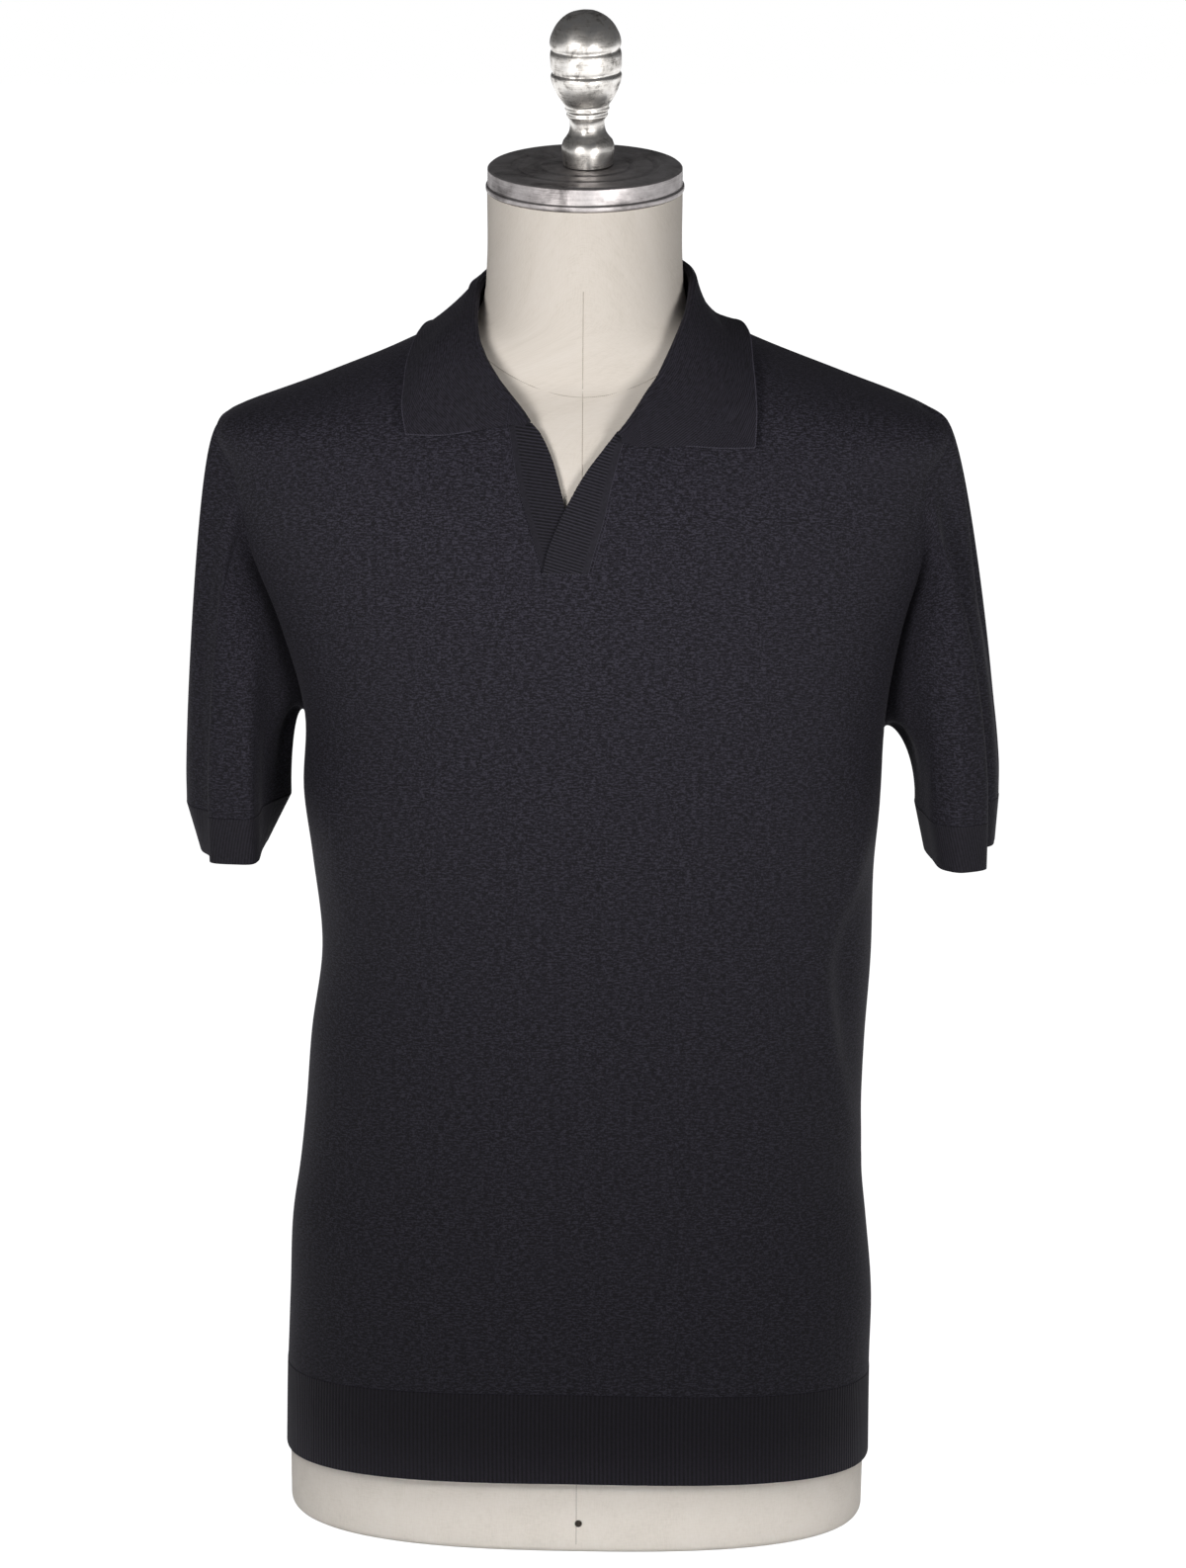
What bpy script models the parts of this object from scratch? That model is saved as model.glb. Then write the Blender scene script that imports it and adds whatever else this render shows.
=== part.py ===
"""Knitted polo shirt on a limbless dress form, as closed solids.

Sizes are in millimetres and become metres as each mesh is made. +Z is up, the shirt's front faces -Y and
the origin is the middle of the form's flat base. "Left" and "right" are as seen from the front, so left is -X.
An angle around the body starts at the right side (+X) and turns through the front (-Y).
"""

import math

import bmesh
import bpy
import numpy as np
from mathutils import Vector

MM = 0.001

# ---------------------------------------------------------------- driving dimensions

CLOTH_WALL = 1.5
RIB_WALL = 1.8
BAND_WALL = 1.5
COLLAR_WALL = 1.8
SEAM_GAP = 0.3
ARMHOLE_GAP = 0.4

# Sections of the shirt's body at each height: how far it reaches to the left, right, front and back,
# and the squareness of its outline, where 2 is an ellipse.
BODY = (
    # height, left, right, front, back, square
    (30, -186.0, 177.5, 123.0, 112.0, 2.55),
    (100, -184.5, 178.0, 124.0, 113.0, 2.55),
    (137, -183.0, 179.0, 124.0, 113.0, 2.5),
    (188, -180.5, 175.0, 123.0, 112.0, 2.4),
    (214, -176.5, 172.5, 122.5, 111.5, 2.3),
    (250, -172.5, 171.5, 122.0, 111.0, 2.3),
    (300, -168.5, 173.5, 121.0, 111.0, 2.3),
    (353, -161.5, 177.0, 121.0, 112.0, 2.3),
    (415, -167.0, 178.5, 122.0, 114.0, 2.3),
    (455, -172.0, 182.0, 122.0, 116.0, 2.3),
    (500, -171.0, 184.5, 120.0, 117.5, 2.25),
    (560, -187.0, 196.0, 116.0, 118.5, 2.2),
    (620, -211.0, 214.0, 108.0, 115.5, 2.1),
    (655, -219.0, 218.0, 98.5, 111.0, 2.2),
    (687, -217.0, 220.5, 85.0, 102.0, 2.2),
    (699, -188.0, 195.0, 80.0, 96.5, 2.2),
    (711.5, -156.5, 163.3, 75.0, 89.0, 2.1),
    (723.6, -126.5, 132.0, 71.0, 82.0, 2.0),
    (735.5, -99.5, 103.0, 67.5, 75.5, 2.0),
    (748, -73.0, 75.0, 65.0, 70.0, 2.0),
    (765, -66.0, 67.0, 64.0, 67.0, 2.0),
)

# Sections of the dress form, which stays inside the shirt everywhere.
FORM = (
    # height, left, right, front, back, square
    (0, -184.0, 174.0, 118.0, 107.0, 2.55),
    (40, -184.0, 175.0, 118.5, 107.5, 2.55),
    (100, -182.0, 175.5, 119.0, 108.0, 2.5),
    (188, -175.0, 171.0, 117.0, 106.0, 2.3),
    (250, -168.0, 167.0, 114.0, 102.0, 2.3),
    (353, -157.0, 172.0, 114.0, 103.0, 2.3),
    (415, -162.0, 173.0, 116.0, 107.0, 2.3),
    (455, -166.0, 177.0, 116.0, 110.0, 2.3),
    (500, -166.0, 179.0, 115.0, 112.0, 2.25),
    (560, -177.0, 185.0, 112.0, 113.0, 2.2),
    (620, -194.0, 196.0, 104.0, 111.0, 2.1),
    (655, -203.0, 202.0, 94.0, 106.0, 2.2),
    (680, -203.0, 202.0, 83.0, 99.0, 2.2),
    (690, -196.0, 198.0, 77.0, 95.5, 2.2),
    (699, -181.5, 189.0, 71.0, 91.0, 2.1),
    (711.5, -150.0, 157.0, 62.0, 83.5, 2.0),
    (723.6, -120.0, 125.5, 60.5, 76.0, 2.0),
    (735.5, -92.0, 96.0, 60.0, 69.5, 2.0),
    (744, -73.0, 75.0, 59.5, 65.5, 2.0),
    (752, -63.5, 65.5, 59.3, 62.5, 2.0),
    (762, -60.0, 62.0, 59.3, 60.5, 2.0),
    (780, -58.5, 60.5, 59.2, 59.5, 2.0),
    (825, -58.2, 60.4, 59.0, 59.2, 2.0),
)
FORM_BASE_ROUNDING = 4.0
# Heights of the form's rings above its rounded base edge, closer together where the shoulders turn.
FORM_RINGS = (
    25, 60, 100, 145, 188, 220, 250, 300, 353, 390, 425, 460, 500, 535, 570, 600, 625, 650, 668,
    680, 690, 699, 707, 716, 725, 735.5, 744, 752, 762, 780,
)
NECK_TOP = 825.0
NECK_TILT = math.radians(7.0)
NECK_TILT_STARTS = 775.0
NECK_MIDDLE = 1.2

# The body stands turned a little against its neck, so its right side is nearer the front.
BODY_TURN = 0.055
TURN_FADES = (695.0, 765.0)

# Hem rib: its lower edge and its top line, at the sides and by how much more at the middle of front and back.
HEM_AT_SIDES = 38.0
HEM_RISE = 7.5
RIB_TOP_AT_SIDES = 92.0
RIB_TOP_RISE = 10.5

# Armholes: heights of the shoulder tip and the underarm, and how far the seam turns onto front and back.
# Squareness is that of the hole's outline above and below its middle.
ARMHOLE_SQUARE_TOP = 2.4
ARMHOLE_SQUARE_FOOT = 2.3
ARMHOLES = {
    "left": {"side": math.pi, "tip": 687.2, "underarm": 501.6, "front": 20.0, "front_low": 8.0, "back": 22.0},
    "right": {"side": 0.0, "tip": 696.0, "underarm": 494.8, "front": 23.0, "front_low": 10.0, "back": 22.0},
}
# The front seam turns in from front to front_low between these shares of the armhole's half height.
FRONT_SEAM_TURNS_IN = (-0.15, 0.6)

# The line where each sleeve meets its cuff, at one height, by the angle around the sleeve in degrees:
# 0 is the outer side, 90 the front and 180 the side towards the body. One row is one fold or one flat.
CUFF_LINE = 448.0
CUFF_EDGE = 419.0
SLEEVE_LINES = {
    "left": (
        # around, across, forward
        (0, -244.5, -2),
        (35, -240.0, 33),
        (55, -229.0, 49),
        (72, -227.5, 65),
        (90, -214.0, 71),
        (112, -200.5, 63),
        (145, -190.0, 28),
        (180, -184.0, -8),
        (215, -191.0, -42),
        (250, -207.0, -63),
        (270, -219.0, -67),
        (300, -233.0, -52),
        (330, -241.5, -28),
    ),
    "right": (
        # around, across, forward
        (0, 256.5, -28),
        (25, 252.0, -10),
        (42, 240.0, 0),
        (56, 229.0, 20),
        (70, 241.5, 51),
        (90, 229.0, 70),
        (112, 216.0, 61),
        (145, 209.0, 30),
        (180, 205.0, -6),
        (215, 210.0, -40),
        (250, 222.0, -62),
        (270, 234.0, -66),
        (300, 248.0, -51),
        (330, 255.5, -36),
    ),
}
# At the cuff's edge the ring of points closes in around its middle and shifts across.
CUFF_TAPER = {
    "left": {"middle": -216.5, "across": 0.74, "forward": 0.97, "shift": 0.6},
    "right": {"middle": 231.0, "across": 0.84, "forward": 0.97, "shift": 1.8},
}
# How far the sleeve cloth keeps its first and last directions, at the top, the sides and the underarm.
SLEEVE_START = (14.0, 12.0, 9.0)
SLEEVE_END = (84.0, 90.0, 35.0)
# How much of its first direction is straight out to the side, against 1 along the body's cloth.
SLEEVE_FLARE = 0.6

# Front opening, from the bottom up. Each band runs from its seam on the front panel to its own free edge.
UNDER_BAND = (
    # seam across, seam height, edge across, edge height
    (-24.4, 607.7, -1.5, 607.7),
    (-27.4, 618.0, -4.0, 617.0),
    (-33.3, 637.5, -8.5, 635.0),
    (-38.9, 658.0, -13.2, 656.0),
    (-42.3, 677.0, -18.5, 674.0),
    (-44.6, 692.0, -25.0, 687.5),
    (-45.5, 699.0, -30.5, 694.0),
)
OVER_BAND = (
    # seam across, seam height, edge across, edge height
    (3.3, 607.7, -24.0, 607.7),
    (6.9, 621.0, -21.2, 620.0),
    (12.7, 640.0, -14.0, 638.0),
    (16.0, 655.0, -5.5, 654.5),
    (19.5, 668.0, 2.5, 667.0),
    (23.2, 681.0, 12.0, 679.0),
    (28.0, 692.0, 20.5, 689.5),
)
# The over band stands this far out of the cloth, and the under band as far in until it rises.
BAND_STEP = 1.0
BAND_STEP_RUN = 4.0
UNDER_BAND_RISES = (640.0, 664.0)

# Neckline on each side, from the top of the front opening to the shoulder seam: across and height.
NECKLINE_LEFT = ((-47.5, 703.0), (-52.5, 711.5), (-59.0, 721.0), (-65.8, 731.0), (-70.6, 739.0), (-73.2, 745.5))
NECKLINE_RIGHT = ((34.5, 700.0), (41.5, 709.0), (49.8, 719.5), (58.3, 730.0), (66.5, 739.0), (72.8, 745.5))
SHOULDER_SEAM_ENDS = 747.0
BACK_NECK = 750.0
# The body angle by which front and back each stay clear of the side and shoulder seams.
SEAM_TURN = 0.0018
# Heights on the middle line of a panel at the rows that start at the underarms and at the shoulder tips.
MIDDLE_AT_UNDERARM = 498.0
MIDDLE_AT_TIP = 692.0

# Collar, from its left front end around the back to its right front end. Seam is where it meets the neckline,
# fold is the top of its roll, edge is its free edge, and bulge rounds the fall outwards.
COLLAR = (
    # seam x, y, z, fold x, y, z, edge x, y, z, bulge
    (-31.5, -84.5, 694.8, -29.5, -85.5, 696.0, -33.5, -87.5, 691.0, 0.5),
    (-38.5, -81.5, 698.5, -36.0, -82.5, 702.5, -39.5, -88.0, 692.0, 0.5),
    (-45.5, -78.5, 702.5, -42.5, -79.0, 709.0, -45.6, -87.0, 693.8, 0.5),
    (-50.5, -73.8, 710.0, -50.0, -73.5, 718.0, -67.5, -86.0, 689.4, 1.0),
    (-57.5, -67.6, 720.0, -57.3, -67.0, 729.0, -85.0, -85.5, 686.8, 2.0),
    (-62.0, -61.5, 727.5, -60.8, -60.5, 736.0, -106.0, -81.0, 686.3, 3.0),
    (-66.5, -54.5, 734.0, -63.3, -53.0, 742.0, -108.5, -71.5, 701.0, 4.0),
    (-70.6, -44.0, 740.0, -64.8, -38.0, 752.0, -107.5, -60.0, 713.5, 5.0),
    (-72.8, -24.0, 748.5, -64.3, -20.0, 759.5, -105.5, -44.0, 727.0, 1.5),
    (-74.0, 0.0, 751.5, -63.2, 0.0, 766.0, -99.0, -12.0, 740.0, -1.0),
    (-69.0, 26.0, 751.0, -57.8, 26.0, 772.0, -89.0, 34.0, 740.0, -1.0),
    (-49.0, 51.0, 752.5, -43.5, 47.5, 779.0, -67.0, 60.0, 740.5, 2.0),
    (-25.0, 66.0, 753.0, -23.0, 61.5, 783.0, -35.0, 76.0, 740.5, 2.0),
    (0.5, 71.5, 753.0, 0.5, 66.5, 785.0, 0.5, 81.0, 740.5, 2.0),
    (26.0, 66.0, 753.0, 25.0, 61.5, 784.5, 36.0, 76.0, 740.5, 1.0),
    (50.0, 51.0, 752.5, 46.0, 47.5, 781.5, 68.0, 60.0, 740.5, -1.0),
    (70.0, 26.0, 751.0, 60.3, 26.0, 777.5, 90.0, 34.0, 740.0, -6.0),
    (74.5, 0.0, 752.5, 65.6, 0.0, 773.5, 99.0, -12.0, 740.0, -8.0),
    (72.5, -23.0, 750.5, 65.3, -20.0, 766.5, 101.5, -44.0, 729.5, -3.5),
    (66.8, -42.5, 745.0, 62.3, -42.0, 755.5, 102.5, -60.0, 715.5, -1.0),
    (58.8, -56.5, 735.0, 56.3, -57.5, 742.5, 103.3, -72.0, 699.5, 0.0),
    (53.5, -64.5, 725.5, 50.0, -67.0, 730.0, 102.6, -83.5, 680.0, 1.0),
    (46.5, -71.0, 716.5, 44.8, -73.5, 720.0, 84.0, -87.0, 680.3, 1.5),
    (39.5, -76.2, 708.0, 39.0, -78.0, 713.0, 62.0, -89.5, 682.0, 1.5),
    (32.5, -79.8, 700.0, 33.0, -81.0, 706.5, 35.8, -92.5, 682.3, 1.0),
    (28.0, -82.5, 695.0, 27.0, -83.5, 700.0, 31.0, -91.5, 684.0, 0.5),
    (23.5, -84.5, 692.0, 21.5, -86.5, 694.5, 25.5, -90.0, 687.0, 0.5),
)
COLLAR_TIP_ROWS = (5, 21)
# Shares of the way across the stand, turns over the roll in degrees, and shares of the way down the fall.
COLLAR_STAND = (0.0, 0.5)
COLLAR_ROLL_TURNS = (0, 60, 120, 180)
COLLAR_FALL = (0.2, 0.42, 0.64, 0.84, 1.0)
COLLAR_ROLL = 1.9
COLLAR_CLEARANCE = 2.8

# Metal cap on the neck, turned: radius and height of its outline from the top's middle to the underside.
CAP_THICKNESS = 15.0
CAP_OUTLINE = (
    (0.0, 15.0),
    (26.5, 15.0),
    (27.6, 14.0),
    (30.0, 14.0),
    (31.1, 15.0),
    (41.0, 15.0),
    (42.1, 14.0),
    (44.5, 14.0),
    (45.6, 15.0),
    (57.6, 15.0),
    (59.2, 13.6),
    (59.2, 4.0),
    (60.3, 3.2),
    (60.3, 0.8),
    (59.5, 0.0),
    (0.0, 0.0),
)
CAP_SIDES = 40

# Metal knob, turned: radius and height above the cap, from the top down.
KNOB_OUTLINE = (
    (0.0, 94.5),
    (7.5, 93.6),
    (12.8, 91.0),
    (16.8, 87.2),
    (19.8, 82.0),
    (21.4, 77.0),
    (21.5, 73.5),
    (20.7, 71.5),
    (21.4, 69.5),
    (21.5, 64.0),
    (21.2, 59.5),
    (20.5, 57.5),
    (21.4, 55.5),
    (21.0, 51.5),
    (19.3, 46.5),
    (15.5, 40.0),
    (13.2, 36.5),
    (13.4, 34.2),
    (12.4, 32.8),
    (12.6, 30.4),
    (11.2, 28.6),
    (10.5, 24.0),
    (11.4, 20.0),
    (13.4, 17.0),
    (15.0, 15.0),
    (15.2, 2.0),
    (15.0, 0.0),
    (0.0, 0.0),
)
KNOB_SIDES = 20
KNOB_MIDDLE = 3.0
KNOB_LEAN = math.radians(-1.2)
KNOB_LIFT = 0.4

# Nail head, turned: radius and height of its outline from its middle outwards.
NAIL_OUTLINE = ((0.0, 1.2), (1.2, 1.0), (2.2, 0.4), (2.2, 0.0), (0.0, 0.0))
NAIL_SIDES = 16
NAIL_HEIGHT = 19.0
NAIL_ACROSS = -3.0

# Grid steps of the solids.
PANEL_COLUMNS = 8
SLIT_COLUMNS = 2
SKIRT_ROWS = 10
ARMHOLE_STEPS = 14
SHOULDER_ROWS = 6
RIB_COLUMNS = 44
SLEEVE_RINGS = 11
# Sleeve rings lie closer together near the armhole by this power.
SLEEVE_RING_EASE = 1.5
FORM_SIDES = 32
COLLAR_STEPS_PER_ROW = 2
BAND_COLUMNS = 4

# Small steps that directions on a surface are measured over: in millimetres, and in angle or share.
SMALL_LENGTH = 0.5
SMALL_ANGLE = 0.004
SHARP_EDGE = math.radians(50)

MATERIALS = {
    "charcoal_knit": {"colour": (0.026, 0.024, 0.033), "roughness": 0.9, "metallic": 0.0},
    "charcoal_rib": {"colour": (0.022, 0.020, 0.028), "roughness": 0.9, "metallic": 0.0},
    "cream_canvas": {"colour": (0.72, 0.67, 0.60), "roughness": 0.85, "metallic": 0.0},
    "brushed_metal": {"colour": (0.30, 0.29, 0.29), "roughness": 0.35, "metallic": 1.0},
    "dark_nail": {"colour": (0.05, 0.045, 0.04), "roughness": 0.5, "metallic": 1.0},
}


# ---------------------------------------------------------------- curves and surfaces

def through(keys, values, at, corners=()):
    """Values at a key, by a cubic through the rows; a row listed in corners keeps a sharp turn."""
    keys = np.asarray(keys, float)
    values = np.asarray(values, float)
    steps = np.diff(keys)
    slopes = np.diff(values, axis=0) / steps[:, None]
    row = int(np.clip(np.searchsorted(keys, at) - 1, 0, len(steps) - 1))

    def tangent(index, own):
        if index in corners or index in (0, len(steps)):
            return slopes[own]
        before, after = steps[index - 1], steps[index]
        return (slopes[index - 1] * after + slopes[index] * before) / (before + after)

    t = (at - keys[row]) / steps[row]
    start = tangent(row, row) * steps[row]
    end = tangent(row + 1, row) * steps[row]
    blend = (2 * t**3 - 3 * t**2 + 1, t**3 - 2 * t**2 + t, -2 * t**3 + 3 * t**2, t**3 - t**2)
    return blend[0] * values[row] + blend[1] * start + blend[2] * values[row + 1] + blend[3] * end


def section(table, height):
    keys = [row[0] for row in table]
    return through(keys, [row[1:] for row in table], height)


def section_point(table, height, angle):
    """A point on a lofted body, at a height and an angle around it."""
    left, right, front, back, square = section(table, height)
    across, forward = math.cos(angle), math.sin(angle)
    reach = (abs(across) ** square + abs(forward) ** square) ** (-1.0 / square)
    depth = front if forward >= 0 else back
    half = (right - left) / 2
    return np.array(((left + right) / 2 + half * reach * across, -depth * reach * forward, height))


def section_normal(table, height, angle):
    rise, turn = SMALL_LENGTH, SMALL_ANGLE
    upward = section_point(table, height + rise, angle) - section_point(table, height - rise, angle)
    around = section_point(table, height, angle + turn) - section_point(table, height, angle - turn)
    return unit(np.cross(upward, around))


def unit(vector):
    return vector / np.linalg.norm(vector)


def angle_at(table, height, across):
    """The angle, on the front, at which the section at this height is this far across."""
    left, right, _, _, square = section(table, height)
    share = (across - (left + right) / 2) / ((right - left) / 2)
    share = max(-0.999, min(0.999, share))
    return math.atan2((1 - abs(share) ** square) ** (1 / square), share)


def outside(table, point):
    """About how far a point lies outside a lofted body, with the direction that leads away from it."""

    def excess(place):
        left, right, front, back, square = section(table, place[2])
        across = abs((place[0] - (left + right) / 2) / ((right - left) / 2))
        along = abs(place[1] / (front if place[1] < 0 else back))
        return (across**square + along**square) ** (1 / square) - 1

    step = SMALL_LENGTH
    slope = np.array([
        (excess(point + step * axis) - excess(point - step * axis)) / (2 * step) for axis in np.eye(3)
    ])
    steepness = np.linalg.norm(slope)
    return excess(point) / steepness, slope / steepness


def lifted(table, point, clearance):
    """The point itself, or moved out until it is clear of the body."""
    for _ in range(3):
        distance, away = outside(table, point)
        if distance < clearance:
            point = point + away * (clearance - distance)
    return point


# ---------------------------------------------------------------- meshes

def turned(point):
    """The point once the body is turned: it comes forward on the right and goes back on the left."""
    low, high = TURN_FADES
    share = max(0.0, min(1.0, (high - point[2]) / (high - low)))
    share = share * share * (3 - 2 * share)
    return Vector((point[0], point[1] - BODY_TURN * share * point[0], point[2]))


def add_mesh(name, points, faces, material):
    mesh = bpy.data.meshes.new(name)
    mesh.from_pydata([turned(point) * MM for point in points], [], faces)
    shape = bmesh.new()
    shape.from_mesh(mesh)
    bmesh.ops.recalc_face_normals(shape, faces=shape.faces)
    shape.to_mesh(mesh)
    shape.free()
    mesh.shade_smooth()
    mesh.set_sharp_from_angle(angle=SHARP_EDGE)
    mesh.materials.append(material)
    item = bpy.data.objects.new(name, mesh)
    bpy.context.scene.collection.children["polo_shirt_on_form"].objects.link(item)
    return item


def add_shell(name, middle, normals, wall, material, ring=False, left_out=()):
    """A closed wall around a grid of middle points: rows of points, joined end to end when ring is set.

    left_out holds the (row, column) of each cell without cloth.
    """
    rows, columns = len(middle), len(middle[0])
    size = rows * columns
    middle = np.array(middle, float).reshape(size, 3)
    half = np.array(normals, float).reshape(size, 3) * (wall / 2)
    points = np.concatenate((middle + half, middle - half))
    faces = []
    edges = {}
    for row in range(rows - 1):
        for column in range(columns if ring else columns - 1):
            if (row, column) in left_out:
                continue
            after = (column + 1) % columns
            cell = [row * columns + column, row * columns + after,
                    (row + 1) * columns + after, (row + 1) * columns + column]
            faces.append(cell)
            faces.append([size + corner for corner in reversed(cell)])
            for start, end in zip(cell, cell[1:] + cell[:1]):
                edges[(start, end)] = True
    for start, end in edges:
        if (end, start) not in edges:
            faces.append([end, start, size + start, size + end])
    used = sorted({corner for face in faces for corner in face})
    order = {corner: place for place, corner in enumerate(used)}
    faces = [[order[corner] for corner in face] for face in faces]
    return add_mesh(name, points[used], faces, material)


def add_turned(name, outline, sides, material):
    """A closed solid turned around its own Z axis from an outline that runs from the top to the bottom."""
    mesh = bpy.data.meshes.new(name)
    points = [(radius * MM, 0.0, height * MM) for radius, height in outline]
    mesh.from_pydata(points, [(i, i + 1) for i in range(len(points) - 1)], [])
    mesh.materials.append(material)
    item = bpy.data.objects.new(name, mesh)
    bpy.context.scene.collection.children["polo_shirt_on_form"].objects.link(item)
    turn = item.modifiers.new("turn", "SCREW")
    turn.steps = sides
    turn.render_steps = sides
    turn.use_merge_vertices = True
    turn.merge_threshold = 0.00001
    turn.use_smooth_shade = True
    return item


def add_material(name, colour, roughness, metallic):
    material = bpy.data.materials.new(name)
    material.use_nodes = True
    surface = material.node_tree.nodes["Principled BSDF"]
    surface.inputs["Base Color"].default_value = (*colour, 1.0)
    surface.inputs["Roughness"].default_value = roughness
    surface.inputs["Metallic"].default_value = metallic
    material.diffuse_color = (*colour, 1.0)
    return material


# ---------------------------------------------------------------- body panels and hem

def rib_top(angle):
    return RIB_TOP_AT_SIDES + RIB_TOP_RISE * math.sin(angle) ** 2


def hem_edge(angle):
    return HEM_AT_SIDES + HEM_RISE * math.sin(angle) ** 2


def armhole_spot(arm, around):
    """Height and body angle of the armhole seam; around is 0 at the shoulder tip and pi/2 at the front."""
    hole = ARMHOLES[arm]
    upward, forward = math.cos(around), math.sin(around)
    square = ARMHOLE_SQUARE_TOP if upward > 0 else ARMHOLE_SQUARE_FOOT
    reach = (abs(upward) ** square + abs(forward) ** square) ** (-1 / square)
    height = (hole["tip"] + hole["underarm"]) / 2 + (hole["tip"] - hole["underarm"]) / 2 * reach * upward
    low, high = FRONT_SEAM_TURNS_IN
    share = min(1.0, max(0.0, (reach * upward - low) / (high - low)))
    front = hole["front_low"] + (hole["front"] - hole["front_low"]) * share * share * (3 - 2 * share)
    turn = math.radians(front if forward >= 0 else hole["back"]) * reach * forward
    return height, hole["side"] + (turn if arm == "right" else -turn)


def outer_edges(face):
    """Rows of ((height, angle) at the left, (height, angle) at the right) up a panel's two outer edges."""
    seam_turn = SEAM_TURN * face
    left_side, right_side = math.pi - seam_turn, seam_turn
    rows = []
    for step in range(SKIRT_ROWS):
        share = step / SKIRT_ROWS
        start = RIB_TOP_AT_SIDES + SEAM_GAP
        rows.append(tuple(
            (start + share * (ARMHOLES[arm]["underarm"] - start), side)
            for arm, side in (("left", left_side), ("right", right_side))
        ))
    for step in range(ARMHOLE_STEPS + 1):
        around = math.pi * (1 - step / ARMHOLE_STEPS) * face
        spots = [armhole_spot(arm, around) for arm in ("left", "right")]
        if step in (0, ARMHOLE_STEPS):
            spots = [(spots[0][0], left_side), (spots[1][0], right_side)]
        rows.append(tuple(spots))
    for step in range(1, SHOULDER_ROWS + 1):
        share = step / SHOULDER_ROWS
        rows.append(tuple(
            (ARMHOLES[arm]["tip"] + share * (SHOULDER_SEAM_ENDS - ARMHOLES[arm]["tip"]), side)
            for arm, side in (("left", left_side), ("right", right_side))
        ))
    return rows


def inner_edge(band, neckline, shift):
    """Rows of (across, height) up one side of the front opening, moved by shift, and of the neck."""
    lower = [(row[0] + shift, row[1]) for row in band]
    return lower + list(neckline)


def front_panel(material):
    edges = outer_edges(1)
    slit_row = SKIRT_ROWS + ARMHOLE_STEPS // 2
    top_row = len(edges) - 1
    inner = {
        "left": inner_edge(UNDER_BAND, NECKLINE_LEFT, -SEAM_GAP),
        "right": inner_edge(OVER_BAND, NECKLINE_RIGHT, SEAM_GAP),
    }
    start = RIB_TOP_AT_SIDES + SEAM_GAP
    slit_bottom = UNDER_BAND[0][1] - SEAM_GAP
    grid, normals, left_out = [], [], []
    for row, (left, right) in enumerate(edges):
        spots = {}
        for arm in ("left", "right"):
            if row <= slit_row:
                across = inner[arm][0][0]
                height = np.interp(row, (0, SKIRT_ROWS, slit_row), (start, MIDDLE_AT_UNDERARM, slit_bottom))
            else:
                place = (row - slit_row) / (top_row - slit_row) * (len(inner[arm]) - 1)
                across, height = through(range(len(inner[arm])), inner[arm], place)
            spots[arm] = (height, angle_at(BODY, height, across))
        columns = []
        for step in range(PANEL_COLUMNS + 1):
            columns.append(between(left, spots["left"], step / PANEL_COLUMNS))
        for step in range(1, SLIT_COLUMNS):
            columns.append(between(spots["left"], spots["right"], step / SLIT_COLUMNS))
        for step in range(PANEL_COLUMNS + 1):
            columns.append(between(spots["right"], right, step / PANEL_COLUMNS))
        if row < SKIRT_ROWS:
            lift = 1 - row / SKIRT_ROWS
            rise = lift * RIB_TOP_RISE
            columns = [(height + rise * math.sin(angle) ** 2, angle) for height, angle in columns]
        grid.append([section_point(BODY, *spot) for spot in columns])
        normals.append([section_normal(BODY, *spot) for spot in columns])
        if slit_row <= row < top_row:
            left_out += [(row, PANEL_COLUMNS + step) for step in range(SLIT_COLUMNS)]
    return add_shell("front", grid, normals, CLOTH_WALL, material, left_out=left_out)


def between(start, end, share):
    return tuple(a + (b - a) * share for a, b in zip(start, end))


def back_panel(material):
    edges = outer_edges(-1)
    columns_across = 2 * PANEL_COLUMNS
    start = RIB_TOP_AT_SIDES + SEAM_GAP
    stages = (0, SKIRT_ROWS, SKIRT_ROWS + ARMHOLE_STEPS, len(edges) - 1)
    stage_heights = (start, MIDDLE_AT_UNDERARM, MIDDLE_AT_TIP, BACK_NECK)
    grid, normals = [], []
    for row, (left, right) in enumerate(edges):
        middle_height = np.interp(row, stages, stage_heights)
        row_points = []
        for step in range(columns_across + 1):
            share = step / columns_across
            height, _ = between(left, right, share)
            angle = left[1] + (right[1] + 2 * math.pi - left[1]) * share
            dome = math.sin(math.pi * share) ** 2
            height += (middle_height - height) * dome
            if row < SKIRT_ROWS:
                height += (1 - row / SKIRT_ROWS) * RIB_TOP_RISE * math.sin(angle) ** 2
            row_points.append((height, angle))
        grid.append([section_point(BODY, *spot) for spot in row_points])
        normals.append([section_normal(BODY, *spot) for spot in row_points])
    return add_shell("back", grid, normals, CLOTH_WALL, material)


def hem_rib(material):
    grid, normals = [], []
    for share in (0.0, 0.5, 1.0):
        spots = []
        for step in range(RIB_COLUMNS):
            angle = 2 * math.pi * step / RIB_COLUMNS
            spots.append((hem_edge(angle) + share * (rib_top(angle) - hem_edge(angle)), angle))
        grid.append([section_point(BODY, *spot) for spot in spots])
        normals.append([section_normal(BODY, *spot) for spot in spots])
    return add_shell("hem_rib", grid, normals, RIB_WALL, material, ring=True)


# ---------------------------------------------------------------- sleeves and cuffs

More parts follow.
